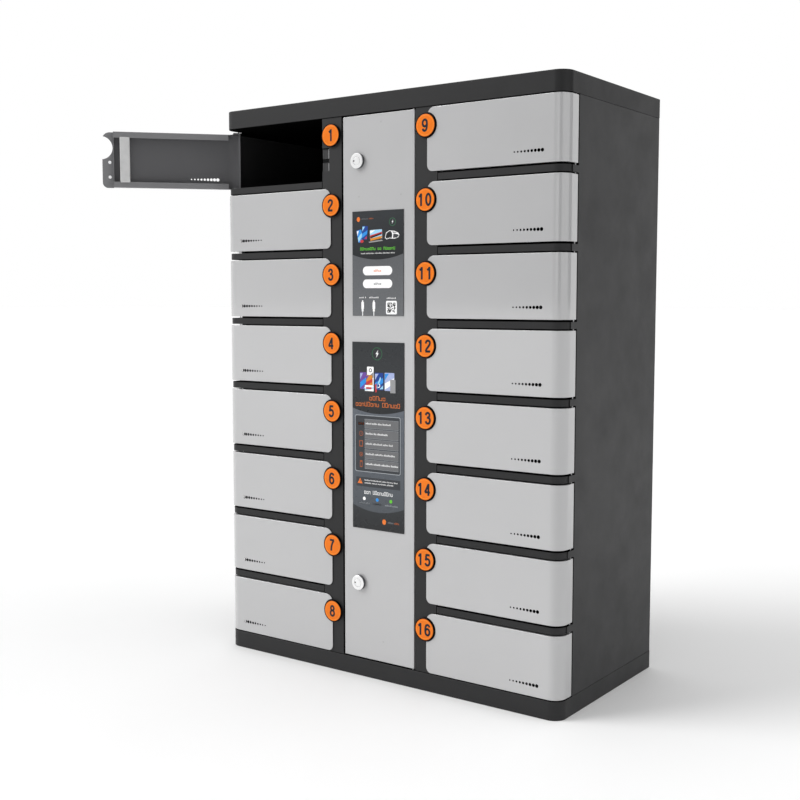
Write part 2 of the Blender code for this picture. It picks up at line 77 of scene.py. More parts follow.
# ------------------------------------------------------------------ node-based materials
class Tree:
    """A Principled material and short calls that add nodes to it."""

    def __init__(self, name):
        self.mat = bpy.data.materials.new(name)
        self.mat.use_nodes = True
        self.t = self.mat.node_tree
        self.bsdf = self.t.nodes["Principled BSDF"]
        self.co = self.t.nodes.new("ShaderNodeTexCoord").outputs["Object"]

    def new(self, kind, **inputs):
        n = self.t.nodes.new(kind)
        for key, value in inputs.items():
            self.put(n, key.replace("_", " "), value)
        return n

    def put(self, n, key, value):
        sock = n.inputs[key]
        if isinstance(value, bpy.types.NodeSocket):
            self.t.links.new(value, sock)
        else:
            sock.default_value = value

    def mapped(self, scale):
        n = self.t.nodes.new("ShaderNodeMapping")
        self.t.links.new(self.co, n.inputs["Vector"])
        n.inputs["Scale"].default_value = scale
        return n.outputs["Vector"]

    def noise(self, scale, detail=2.0, rough=0.5, vector=None):
        n = self.new("ShaderNodeTexNoise", Scale=scale, Detail=detail, Roughness=rough)
        self.t.links.new(vector or self.co, n.inputs["Vector"])
        return n.outputs["Fac"]

    def remap(self, fac, lo, hi, a=0.3, b=0.7):
        n = self.new("ShaderNodeMapRange")
        self.t.links.new(fac, n.inputs["Value"])
        for key, value in (("From Min", a), ("From Max", b), ("To Min", lo), ("To Max", hi)):
            n.inputs[key].default_value = value
        return n.outputs["Result"]

    def ramp(self, fac, stops):
        n = self.t.nodes.new("ShaderNodeValToRGB")
        while len(n.color_ramp.elements) < len(stops):
            n.color_ramp.elements.new(0.5)
        for el, (pos, rgb) in zip(n.color_ramp.elements, stops):
            el.position, el.color = pos, (*rgb, 1.0)
        self.t.links.new(fac, n.inputs["Fac"])
        return n.outputs["Color"]

    def mix(self, fac, a, b, blend="MIX"):
        n = self.t.nodes.new("ShaderNodeMix")
        n.data_type, n.blend_type = "RGBA", blend
        for key, value in ((0, fac), (6, a), (7, b)):
            if isinstance(value, bpy.types.NodeSocket):
                self.t.links.new(value, n.inputs[key])
            else:
                n.inputs[key].default_value = value if key == 0 else (*value, 1.0)
        return n.outputs[2]

    def bump(self, height, strength, distance):
        n = self.new("ShaderNodeBump", Strength=strength, Distance=distance)
        self.t.links.new(height, n.inputs["Height"])
        self.t.links.new(n.outputs["Normal"], self.bsdf.inputs["Normal"])

    def set(self, **values):
        for key, value in values.items():
            self.put(self.bsdf, key.replace("_", " "), value)
        return self.mat


def srgb(hexa):
    out = []
    for i in (0, 2, 4):
        c = int(hexa.lstrip("#")[i:i + 2], 16) / 255
        out.append(c / 12.92 if c <= 0.04045 else ((c + 0.055) / 1.055) ** 2.4)
    return tuple(out)


def scaled(rgb, k):
    return tuple(min(1.0, c * k) for c in rgb)


def paint(name, hexa, rough, grain, texture, spread=0.06, coat=0.0, coat_rough=0.2, spec=0.5, coat_ior=1.5):
    """Sprayed paint: slow tone drift, fine speckle, orange peel."""
    m = Tree(name)
    rgb = srgb(hexa)
    drift = m.ramp(m.noise(3.1, 3.0, 0.55), [(0.3, scaled(rgb, 1 - spread)), (0.7, scaled(rgb, 1 + spread))])
    speck = m.remap(m.noise(grain * 1.7, 2.0), 0.0, 1.0, 0.35, 0.65)
    colour = m.mix(m.remap(speck, 0.0, 0.22, 0, 1), drift, scaled(rgb, 0.86))
    peel = m.noise(grain, 3.0, 0.6)
    m.bump(peel, texture, 0.0004)
    m.set(Base_Color=colour, Roughness=m.remap(m.noise(14.0, 4.0, 0.6), rough - 0.05, rough + 0.06))
    m.bsdf.inputs["Specular IOR Level"].default_value = spec
    m.bsdf.inputs["Coat Weight"].default_value = coat
    m.bsdf.inputs["Coat Roughness"].default_value = coat_rough
    m.bsdf.inputs["Coat IOR"].default_value = coat_ior
    return m.mat


def plastic(name, hexa, rough, grain=900.0, texture=0.12, coat=0.0):
    m = Tree(name)
    rgb = srgb(hexa)
    colour = m.ramp(m.noise(22.0, 4.0, 0.6), [(0.3, scaled(rgb, 0.9)), (0.7, scaled(rgb, 1.08))])
    m.bump(m.noise(grain, 2.0), texture, 0.0002)
    m.set(Base_Color=colour, Roughness=m.remap(m.noise(45.0, 3.0), rough - 0.05, rough + 0.07))
    m.bsdf.inputs["Coat Weight"].default_value = coat
    m.bsdf.inputs["Coat Roughness"].default_value = 0.12
    return m.mat


def metal(name, hexa, rough, brush=(1.0, 1.0, 60.0), grain=260.0, texture=0.08):
    m = Tree(name)
    rgb = srgb(hexa)
    streak = m.noise(grain, 4.0, 0.6, m.mapped(brush))
    colour = m.ramp(streak, [(0.3, scaled(rgb, 0.88)), (0.7, scaled(rgb, 1.05))])
    m.bump(streak, texture, 0.0001)
    m.set(Base_Color=colour, Metallic=1.0, Roughness=m.remap(streak, rough - 0.05, rough + 0.08))
    return m.mat


def ink(name, hexa, glow=0.0, rough=0.36, coat=0.08, spec=0.25):
    """Printed or displayed colour under a gloss film."""
    m = Tree(name)
    rgb = srgb(hexa)
    colour = m.ramp(m.noise(60.0, 3.0, 0.6), [(0.3, scaled(rgb, 0.95)), (0.7, scaled(rgb, 1.04))])
    m.bump(m.noise(700.0, 2.0), 0.05, 0.0001)
    m.set(Base_Color=colour, Roughness=m.remap(m.noise(30.0, 3.0), rough - 0.04, rough + 0.05))
    m.bsdf.inputs["Coat Weight"].default_value = coat
    m.bsdf.inputs["Coat Roughness"].default_value = 0.18
    m.bsdf.inputs["Specular IOR Level"].default_value = spec
    if glow:
        m.set(Emission_Color=colour)
        m.bsdf.inputs["Emission Strength"].default_value = glow
    return m.mat


def faded(name, stops, z0, z1, glow=0.0, rough=0.3):
    """A printed ground that changes tone from z1 down to z0 (millimetres)."""
    m = Tree(name)
    sep = m.t.nodes.new("ShaderNodeSeparateXYZ")
    m.t.links.new(m.co, sep.inputs[0])
    fac = m.remap(sep.outputs["Z"], 0.0, 1.0, z1 * MM, z0 * MM)
    colour = m.ramp(fac, [(p, srgb(h)) for p, h in stops])
    colour = m.mix(m.remap(m.noise(240.0, 3.0), 0.0, 0.12), colour, srgb("2a2c2e"))
    m.bump(m.noise(700.0, 2.0), 0.05, 0.0001)
    m.set(Base_Color=colour, Roughness=m.remap(m.noise(30.0, 3.0), rough - 0.04, rough + 0.05))
    m.bsdf.inputs["Coat Weight"].default_value = 0.1
    m.bsdf.inputs["Coat Roughness"].default_value = 0.18
    m.bsdf.inputs["Specular IOR Level"].default_value = 0.3
    if glow:
        m.set(Emission_Color=colour)
        m.bsdf.inputs["Emission Strength"].default_value = glow
    return m.mat


MAT = {
    "charcoal": paint("charcoal_powder_coat", "252526", 0.46, 1500.0, 0.22, 0.05, spec=0.3),
    # a lighter copy of the charcoal coat: painted light on the side and rear panels
    "side": paint("charcoal_painted_lit_side", "2d2d2e", 0.46, 1500.0, 0.22, 0.015, spec=0.3),
    "header": paint("charcoal_cover_coat", "202021", 0.46, 1500.0, 0.22, 0.03, spec=0.3),
    # near-black painted shade for faces in the gaps, inside the trays and compartments, and on the shelf plates
    "shade_black": paint("black_painted_shade", "030303", 0.8, 1500.0, 0.2, 0.05, spec=0.02),
    "door": paint("light_grey_door_paint", "b9b9ba", 0.38, 1900.0, 0.05, 0.018, coat=1.0, coat_rough=0.07, coat_ior=1.85),
    # a darker copy of the door paint: painted shade on the doors' inner faces
    "door_in_shade": paint("door_inner_painted_shade", "626264", 0.55, 1900.0, 0.08, 0.03, spec=0.35),
    "door_mark": paint("door_faint_mark", "a4a4a5", 0.45, 1900.0, 0.05, 0.02),
    # a mid-grey copy of the door paint: lighter painted shade on the folded lips inside the doors
    "door_lip_shade": paint("door_lip_lighter_painted_shade", "868688", 0.5, 1900.0, 0.08, 0.03, spec=0.35),
    # pale bar with a faint emission: painted light, the bar is no lamp
    "bar": ink("pale_bar_painted_glow", "d6d6d6", 0.03, 0.45),
    # white with emission: painted light on the strike studs, which are no lamp
    "stud_glow": ink("strike_stud_painted_glow", "f4f4f4", 0.3, 0.4),
    "black": plastic("black_moulding", "101011", 0.5),
    "latch": plastic("latch_case_grey", "1d1d1f", 0.55),
    # light grey painted highlight for the ends of the latch cheeks
    "latch_highlight": plastic("latch_painted_highlight", "a6a6a8", 0.4),
    # black: the badge cups' own colour, and a painted shadow line on the latch tops
    "rim": ink("black_badge_rim_and_shadow_line", "050607", 0.0, 0.6, 0.0, 0.08),
    "orange": ink("badge_orange_acrylic", "f07c22", 0.02, 0.3, 0.04, 0.12),
    "orange_ring": ink("badge_orange_edge", "fb9038", 0.05, 0.3, 0.04, 0.12),
    "numeral": ink("badge_numeral_navy", "1b2833", 0.0, 0.4, 0.0, 0.15),
    "chrome": metal("lock_chrome", "f6f6f6", 0.32, texture=0.04),
    # a darker copy of the chrome: painted dark reflection on the lock body's wall
    "chrome_dark_reflection": metal("lock_chrome_painted_reflection", "77777a", 0.25, texture=0.04),
    "steel": metal("zinc_plated_steel", "b9b9b4", 0.34, (1.0, 1.0, 12.0), 180.0, 0.12),
    "pcb_box": plastic("control_box_black", "1c1c1e", 0.48),
    "screw": metal("black_zinc_screw", "7c7c80", 0.36),
}

# ------------------------------------------------------------------ mesh tools
scratch = bpy.data.collections.new("scratch")
bpy.context.scene.collection.children.link(scratch)
pieces = bpy.data.collections.new("kiosk_pieces")
bpy.context.scene.collection.children.link(pieces)


def to_mesh(bm, name="m", weld=1e-6):
    if weld:
        bmesh.ops.remove_doubles(bm, verts=bm.verts, dist=weld)
    bmesh.ops.recalc_face_normals(bm, faces=bm.faces)
    mesh = bpy.data.meshes.new(name)
    bm.to_mesh(mesh)
    bm.free()
    return mesh


def outline_solid(bm, ring_lo, ring_hi):
    """Joins two matching closed outlines with walls and caps both ends."""
    lo = [bm.verts.new(p) for p in ring_lo]
    hi = [bm.verts.new(p) for p in ring_hi]
    n = len(lo)
    for i in range(n):
        bm.faces.new((lo[i], lo[(i + 1) % n], hi[(i + 1) % n], hi[i]))
    bm.faces.new(lo[::-1])
    bm.faces.new(hi)


def prism(outline, z0, z1):
    """An outline seen from above, raised from z0 to z1."""
    bm = bmesh.new()
    outline_solid(bm, [W(x, y, z0) for x, y in outline], [W(x, y, z1) for x, y in outline])
    return to_mesh(bm)


def front_prism(outline, y0, y1):
    """An outline seen from the front, pushed from y0 back to y1."""
    bm = bmesh.new()
    outline_solid(bm, [W(x, y0, z) for x, z in outline], [W(x, y1, z) for x, z in outline])
    return to_mesh(bm)


def box(x0, x1, y0, y1, z0, z1):
    return prism([(x0, y0), (x1, y0), (x1, y1), (x0, y1)], z0, z1)


def rod(centre, axis, a0, a1, radius, sides=32, radius2=None):
    bm = bmesh.new()
    bmesh.ops.create_cone(bm, cap_ends=True, segments=sides, radius1=radius * MM,
                          radius2=(radius if radius2 is None else radius2) * MM, depth=abs(a1 - a0) * MM)
    turn = {"Z": Matrix.Identity(3), "X": Matrix.Rotation(math.pi / 2, 3, "Y"),
            "Y": Matrix.Rotation(-math.pi / 2, 3, "X")}[axis]
    bmesh.ops.rotate(bm, verts=bm.verts, cent=(0, 0, 0), matrix=turn)
    mid = (a0 + a1) / 2
    x, y, z = {"X": (mid, *centre), "Y": (centre[0], mid, centre[1]), "Z": (*centre, mid)}[axis]
    bmesh.ops.translate(bm, vec=W(x, y, z), verts=bm.verts)
    return to_mesh(bm)


def lathe(centre, profile, sides=48):
    """Turned about a Y axis through (x, z). profile: (radius, y) points from one end on the axis to the other."""
    bm = bmesh.new()
    cx, cz = centre
    rings = []
    for r, y in profile:
        if r < 1e-6:
            rings.append([bm.verts.new(W(cx, y, cz))])
        else:
            rings.append([bm.verts.new(W(cx + r * math.cos(2 * math.pi * i / sides), y,
                                         cz + r * math.sin(2 * math.pi * i / sides))) for i in range(sides)])
    for a, b in zip(rings, rings[1:]):
        for i in range(sides):
            j = (i + 1) % sides
            loop = [a[i % len(a)], a[j % len(a)], b[j % len(b)], b[i % len(b)]]
            loop = list(dict.fromkeys(loop))
            if len(loop) > 2:
                bm.faces.new(loop)
    return to_mesh(bm)


def merged(meshes):
    bm = bmesh.new()
    for mesh in meshes:
        bm.from_mesh(mesh)
    mesh = bpy.data.meshes.new("merged")
    bm.to_mesh(mesh)
    bm.free()
    return mesh


def evaluated(obj):
    bpy.context.view_layer.update()
    graph = bpy.context.evaluated_depsgraph_get()
    return bpy.data.meshes.new_from_object(obj.evaluated_get(graph))


def boolean(mesh, operation, meshes):
    target = bpy.data.objects.new("target", mesh)
    tool = bpy.data.objects.new("tool", merged(meshes))
    for obj in (target, tool):
        scratch.objects.link(obj)
    mod = target.modifiers.new("cut", "BOOLEAN")
    mod.operation, mod.object = operation, tool
    made = evaluated(target)
    for obj in (target, tool):
        bpy.data.objects.remove(obj, do_unlink=True)
    return tidy(made)


def tidy(mesh, angle=0.3):
    bm = bmesh.new()
    bm.from_mesh(mesh)
    bmesh.ops.remove_doubles(bm, verts=bm.verts, dist=2e-6)
    bmesh.ops.dissolve_limit(bm, angle_limit=math.radians(angle), verts=bm.verts, edges=bm.edges)
    bm.to_mesh(mesh)
    bm.free()
    return mesh


def cut(mesh, *meshes):
    return boolean(mesh, "DIFFERENCE", meshes)


def join(mesh, *meshes):
    return boolean(mesh, "UNION", meshes)


def softened(mesh, width=0.35, segments=2, angle=35, weights=None):
    """Rounds a mesh's sharp edges. weights(mid, direction) gives an edge its share of width."""
    obj = bpy.data.objects.new("soften", mesh)
    scratch.objects.link(obj)
    mod = obj.modifiers.new("edges", "BEVEL")
    mod.width = width * MM
    mod.segments = segments
    mod.use_clamp_overlap = True
    mod.harden_normals = False
    if weights:
        bm = bmesh.new()
        bm.from_mesh(mesh)
        layer = bm.edges.layers.float.get("bevel_weight_edge") or bm.edges.layers.float.new("bevel_weight_edge")
        for e in bm.edges:
            sharp = len(e.link_faces) == 2 and e.calc_face_angle(0.0) > math.radians(angle)
            a, b = e.verts[0].co, e.verts[1].co
            e[layer] = weights((a + b) / 2, (b - a).normalized()) if sharp and e.is_convex else 0.0
        bm.to_mesh(mesh)
        bm.free()
        mod.limit_method = "WEIGHT"
    else:
        mod.limit_method = "ANGLE"
        mod.angle_limit = math.radians(angle)
    made = evaluated(obj)
    bpy.data.objects.remove(obj, do_unlink=True)
    return made


def mirrored(mesh):
    copy = mesh.copy()
    copy.transform(Matrix.Scale(-1, 4, (1, 0, 0)))
    copy.flip_normals()
    return copy


def arc(cx, cy, r, a0, a1, steps):
    return [(cx + r * math.cos(math.radians(a0 + (a1 - a0) * i / steps)),
             cy + r * math.sin(math.radians(a0 + (a1 - a0) * i / steps))) for i in range(steps + 1)]


def piece(mesh, name, mat, body, replaces=(), smooth=32, location=None):
    """A finished piece on its body."""
    obj = bpy.data.objects.new(name, mesh)
    pieces.objects.link(obj)
    if location is not None:
        obj.location = location
    mats = [mat] if isinstance(mat, str) else list(mat)
    which = [min(poly.material_index, len(mats) - 1) for poly in mesh.polygons]
    mesh.materials.clear()
    for m in mats:
        mesh.materials.append(MAT[m])
    mesh.polygons.foreach_set("material_index", which)
    mesh.shade_smooth()
    mesh.set_sharp_from_angle(angle=math.radians(smooth))
    weighted = obj.modifiers.new("weighted", "WEIGHTED_NORMAL")
    weighted.keep_sharp = True
    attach(obj, body)
    if replaces:
        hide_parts(*([replaces] if isinstance(replaces, str) else replaces))
    return obj


def from_cad(node, mat, width=0.35, segments=2, body="cabinet", angle=35, smooth=40):
    """A CAD node's own shape with its edges broken."""
    mesh = nodes[node].data.copy()
    tidy(mesh)
    mesh = softened(mesh, width, segments, angle)
    return piece(mesh, node + "_v", mat, body, node, smooth)


def faces_by(mesh, rule):
    """Sets each face's material index from its centre and normal."""
    for poly in mesh.polygons:
        poly.material_index = rule(poly.center, poly.normal)


# ------------------------------------------------------------------ plinth and top cover
def rounded_plan(inset, steps=28):
    r = CORNER_R - inset
    return ([(inset, DEPTH - inset)] + arc(CORNER_R, CORNER_R, r, 180, 270, steps)
            + arc(WIDTH - CORNER_R, CORNER_R, r, 270, 360, steps) + [(WIDTH - inset, DEPTH - inset)])


def tray(z0, z1, mouth, pin_z):
    mesh = prism(rounded_plan(0), z0, z1)
    mesh = softened(mesh, 1.3, 4, 50)
    mesh = cut(mesh, prism(rounded_plan(SHEET, 20), z0 + SHEET, z1 - SHEET))
    mesh = cut(mesh, box(*mouth, pin_z - 5, pin_z + 5),
               *[rod((x, PIVOT[1]), "Z", pin_z - 5, pin_z + 5, PIN_HOLE_R, 16) for x in (PIVOT[0], WIDTH - PIVOT[0])],
               rod((541.0, 6.5), "Z", pin_z - 5, pin_z + 5, 2.9, 20))
    return mesh


base = tray(0, PLINTH_H, (320, 580, 60, 340), PLINTH_H)
# the plinth's top face under the doors and its inside take the black painted shade
faces_by(base, lambda c, n: 1 if n.z > 0.8 and c.z > (PLINTH_H - 2) * MM or SHEET < c.z / MM < PLINTH_H - SHEET and max(abs(c.x), abs(c.y)) < 0.2 else 0)
piece(base, "base_plinth_v", ("charcoal", "shade_black"), "cabinet", "base_plinth")
top = tray(HEADER_Z, HEIGHT, (320, 580, 60, 400), HEADER_Z)
# the cover's underside over the doors takes the black painted shade
faces_by(top, lambda c, n: 1 if n.z < -0.8 and c.z < (HEADER_Z + 2) * MM else 0)
piece(top, "top_cover_v", ("header", "shade_black"), "cabinet", "top_cover")

# ------------------------------------------------------------------ plain sheet parts, from the CAD's own shapes
# side and rear panels take the lighter copy of the charcoal as painted light
for node, broken in (("side_panel_left", 0.8), ("side_panel_right", 0.8), ("rear_panel", 0.3)):
    from_cad(node, "side", min(broken, 0.45), 2)
for node in ("mullion_left", "mullion_right"):
    channel = softened(tidy(nodes[node].data.copy()), 0.5, 3)
    # the channel's faces behind its front take the black painted shade
    faces_by(channel, lambda c, n: 0 if n.y < -0.35 and c.y < W(0, FACE_Y + 0.7, 0).y else 1)
    piece(channel, node + "_v", ("charcoal", "shade_black"), "cabinet", node, 40)
# partitions and inner backs are black painted shade
for node in ("partition_left", "partition_right", "inner_back_left", "inner_back_right"):
    from_cad(node, "shade_black", 0.3, 1)
for node in ("latch_rail_left", "latch_rail_right"):
    rail = tidy(nodes[node].data.copy())
    rail = softened(rail, 0.5, 2)
    tongues = [door_z(row) + 41.3 for row in range(ROWS)]
    faces_by(rail, lambda c, n: 1 if min(abs(c.z / MM - t) for t in tongues) < 4.2 else 0)
    piece(rail, node + "_v", ("latch", "black"), "cabinet", node, 40)

# latch faces: two cheeks, each with a light grey block on its rounded end as a painted highlight, the dark tongue
# between them, a black strip on top as a painted shadow line
cheeks, edges, tongues_and_shadow_line = [], [], []
for row in range(ROWS):
    z = door_z(row)
    for a, b in ((18.3, 37.1), (45.5, 67.7)):
        cheeks.append(softened(box(295.8, 300.2, 5.35, 6.2, z + a, z + b), 0.2, 2, 50))
        # the light grey end blocks are a painted highlight
        edges.append(softened(box(312.4, 315.7, 4.6, 5.9, z + a, z + b - 2.0), 0.55, 3, 50))
    tongues_and_shadow_line.append(softened(box(297.4, 315.7, 3.7, 4.6, z + 37.6, z + 45.0), 0.2, 2, 50))
    # a black strip along the top of each latch: painted shadow line
    tongues_and_shadow_line.append(softened(box(297.4, 315.7, 3.9, 5.0, z + 66.2, z + 67.8), 0.2, 2, 50))
for side in ("left", "right"):
    for kind, meshes, mat in (("cheeks", cheeks, "latch"), ("edges", edges, "latch_highlight"), ("tongues", tongues_and_shadow_line, "rim")):
        whole = merged(meshes)
        piece(whole if side == "left" else mirrored(whole), f"latch_{kind}_{side}", mat, "cabinet", ())

# folded lips that close the seams between the side panels and the two trays, in black painted shade so the seams read
# as dark lines
for side, (x0, x1) in (("left", (1.15, 2.0)), ("right", (WIDTH - 2.0, WIDTH - 1.15))):
    lips = merged([softened(box(x0, x1, 57, 430, z0, z1), 0.2, 2, 50)
                   for z0, z1 in ((PLINTH_H + 0.02, PLINTH_H + 7), (HEADER_Z - 7, HEADER_Z - 0.02))])
    piece(lips, f"seam_lips_{side}", "shade_black", "cabinet", ())

# ------------------------------------------------------------------ shelves with their front strips
shelf_r = CORNER_R - FACE_Y
shelf_plan = ([(SHELF_END_X, FACE_Y), (SHELF_END_X, INNER_BACK_Y - 0.4), (1.4, INNER_BACK_Y - 0.4),
               (1.4, CORNER_R + 0.2), (FACE_Y, CORNER_R + 0.2)] + arc(CORNER_R, CORNER_R, shelf_r, 180, 270, 24))
pocket_plan = ([(OPENING_X + 5, FACE_Y + SHEET), (OPENING_X + 5, 400), (-10, 400), (-10, CORNER_R + 8),
                (FACE_Y + SHEET, CORNER_R + 8)] + arc(CORNER_R, CORNER_R, shelf_r - SHEET, 180, 270, 16))
shelf = prism(shelf_plan, 0, STRIP_H)
shelf = softened(shelf, 0.5, 2, 50)
shelf = cut(shelf, prism(pocket_plan, SHEET, STRIP_H - SHEET))
shelf = cut(shelf, box(-20, 320, 62, 420, -5, STRIP_H - SHEET - 2))
shelf = cut(shelf, rod(PIVOT, "Z", -5, STRIP_H + 5, PIN_HOLE_R, 16))
# the strip's top and bottom faces in the door gaps, and the plate behind it, take the black painted shade
faces_by(shelf, lambda c, n: 1 if abs(n.z) > 0.8 or c.y > W(0, CORNER_R + 2, 0).y or n.x > 0.8 else 0)
shelf_right = mirrored(shelf)
for i in range(ROWS - 1):
    z = door_z(i) - GAP_BELOW - STRIP_H
    for side, mesh in (("left", shelf), ("right", shelf_right)):
        name = f"shelf_{side}_{i + 1}"
        one = mesh.copy()
        one.transform(Matrix.Translation((0, 0, z * MM)))
        piece(one, name + "_v", ("charcoal", "shade_black"), "cabinet", name)

# ------------------------------------------------------------------ locker doors
pan_r = CORNER_R - PAN_DEPTH
door_plan = ([(DOOR_FREE_X, 0), (DOOR_FREE_X, SHEET), (PAN_END_X, SHEET), (PAN_END_X, PAN_DEPTH)]
             + arc(CORNER_R, CORNER_R, pan_r, 270, 180, 14)
             + [(PAN_DEPTH, RETURN_Y), (0, RETURN_Y)] + arc(CORNER_R, CORNER_R, CORNER_R, 180, 270, 32))
door_hollow = ([(PAN_END_X - SHEET, SHEET), (PAN_END_X - SHEET, PAN_DEPTH - SHEET), (26, PAN_DEPTH - SHEET),
                (26, 70), (SHEET, 70)] + arc(CORNER_R, CORNER_R, CORNER_R - SHEET, 180, 270, 24))


def corner_cutter(x, z, r, up):
    sign = 1 if up else -1
    cz = z - sign * r
    outline = [(x + 6, cz), (x + 6, z + sign * 6), (x - r, z + sign * 6)]
    outline += [(x - r + r * math.cos(math.radians(90 - a)), cz + sign * r * math.sin(math.radians(90 - a)))
                for a in [90 * k / 14 for k in range(15)]]
    return front_prism(outline, -4, 6)


def outer_edges(mid, way):
    """Full rounding on the door's outer rim, a light break elsewhere."""
    y = mid.y / MM + DEPTH / 2
    z = mid.z / MM
    x = mid.x / MM + WIDTH / 2
    rim = z < 0.5 or z > DOOR_H - 0.5
    d = math.hypot(x - CORNER_R, y - CORNER_R)
    skin = y < 0.5 or x < 0.5 or (x < CORNER_R and y < CORNER_R and d > CORNER_R - 0.6)
    return 1.0 if rim and skin else 0.0


door = prism(door_plan, 0, DOOR_H)
door = softened(door, 1.1, 4, 40, outer_edges)
door = cut(door, prism(door_hollow, SHEET, DOOR_H - SHEET))
door = cut(door, box(25, PAN_END_X - SHEET, PAN_DEPTH - SHEET - 2, 80, LIP_H, DOOR_H - LIP_H))
door = cut(door, corner_cutter(DOOR_FREE_X, DOOR_H, 18, True), corner_cutter(DOOR_FREE_X, 0, 13, False))
door = cut(door, rod((BADGE_X, BADGE_DZ), "Y", -6, 8, NOTCH_R, 72))
door = softened(door, 0.45, 2, 50)
door = cut(door, *[rod((51.5 + 7.8 * i, 24.2), "Y", -4, 6, 3.75 - 0.27 * i, 24) for i in range(9)])
door = join(door, rod(PIVOT, "Z", -GAP_BELOW - 1.8, 0.7, PIN_R, 16),
            rod(PIVOT, "Z", DOOR_H - 0.7, DOOR_H + GAP_ABOVE + 1.8, PIN_R, 16))


def door_face(c, n):
    """0 outside paint, 1 the inside in darker painted shade, 2 the folded lips round the inside in lighter painted
    shade, 3 black painted shade on the vent holes' walls.
    """
    x, y = c.x / MM + WIDTH / 2, c.y / MM + DEPTH / 2
    z = c.z / MM
    if n.y > 0.5 and y > 0.9:
        # inner skin in darker painted shade, folded lips in lighter painted shade
        return 2 if y > PAN_DEPTH - 0.6 or x > PAN_END_X else 1
    # the vent holes' walls: black painted shade in the holes
    if 46 < x < 119 and 19.5 < z < 29 and 0.05 < y < 1.15:
        return 3
    if 1.0 < z < DOOR_H - 1.0 and y > 1.0:
        d = math.hypot(x - CORNER_R, y - CORNER_R)
        if x < CORNER_R and y < CORNER_R:
            return 1 if d < CORNER_R - 0.6 else 0
        return 1 if x > 0.6 else 0
    return 0


faces_by(door, door_face)
# a pale bar inside the door, faintly glowing as painted light
bar = softened(box(257, 280, 1.35, 18.0, 12.5, 118.5), 2.2, 5, 50)
# strike studs, glowing white as painted light
studs = merged([lathe((STUD_X, dz), [(0, 4.6), (2.5, 4.6), (3.2, 4.3), (3.5, 3.7), (3.5, 1.8), (3.1, 1.25), (0, 1.25)], 28)
                for dz in STUD_DZ])
door_right, bar_right, studs_right = mirrored(door), mirrored(bar), mirrored(studs)
for i in range(2 * ROWS):
    left = i < ROWS
    name = f"door_{i + 1:02d}"
    move = Matrix.Translation((0, 0, door_z(i % ROWS) * MM))
    if i == 0:
        at = W(PIVOT[0], PIVOT[1], 0)
        move = (move @ Matrix.Translation(at) @ Matrix.Rotation(-math.radians(DOOR_01_OPEN), 4, "Z")
                @ Matrix.Translation(-at))
    one = (door if left else door_right).copy()
    one.transform(move)
    piece(one, name + "_v", ("door", "door_in_shade", "door_lip_shade", "black"), name, name, 30)
    strip = (bar if left else bar_right).copy()
    strip.transform(move)
    piece(strip, name + "_pale_bar", "bar", name, ())
    pair = (studs if left else studs_right).copy()
    pair.transform(move)
    piece(pair, name + "_strike_studs", "stud_glow", name, ())

# ------------------------------------------------------------------ badges
def ribbon(points, half, y0, y1, closed=False):
    """A flat stroke of even width along (x, z) points, from y0 back to y1."""
    n = len(points)
    bm = bmesh.new()
    rows = []
    for k, (x, z) in enumerate(points):
        a = points[(k - 1) % n] if closed or k else points[0]
        b = points[(k + 1) % n] if closed or k < n - 1 else points[-1]
        dx, dz = b[0] - a[0], b[1] - a[1]
        d = math.hypot(dx, dz)
        nx, nz = -dz / d * half, dx / d * half
        rows.append([bm.verts.new(W(x + s * nx, y, z + s * nz)) for s, y in ((-1, y0), (1, y0), (1, y1), (-1, y1))])
    spans = n if closed else n - 1
    for k in range(spans):
        p, q = rows[k], rows[(k + 1) % n]
        for i in range(4):
            bm.faces.new((p[i], p[(i + 1) % 4], q[(i + 1) % 4], q[i]))
    if not closed:
        bm.faces.new(rows[0][::-1])
        bm.faces.new(rows[-1])
    return to_mesh(bm, weld=0)


def flowing(points, steps=5):
    """A smooth curve through the points."""
    out = []
    for k in range(len(points) - 1):
        p = [points[max(k - 1, 0)], points[k], points[k + 1], points[min(k + 2, len(points) - 1)]]
        for j in range(steps):
            t = j / steps
            out.append(tuple(0.5 * (2 * p[1][i] + (p[2][i] - p[0][i]) * t + (2 * p[0][i] - 5 * p[1][i] + 4 * p[2][i] - p[3][i]) * t * t
                                    + (3 * p[1][i] - p[0][i] - 3 * p[2][i] + p[3][i]) * t ** 3) for i in (0, 1)))
    return out + [points[-1]]


def oval(cx, cz, rx, rz, n=30):
    return [(cx + rx * math.cos(2 * math.pi * k / n), cz + rz * math.sin(2 * math.pi * k / n)) for k in range(n)]


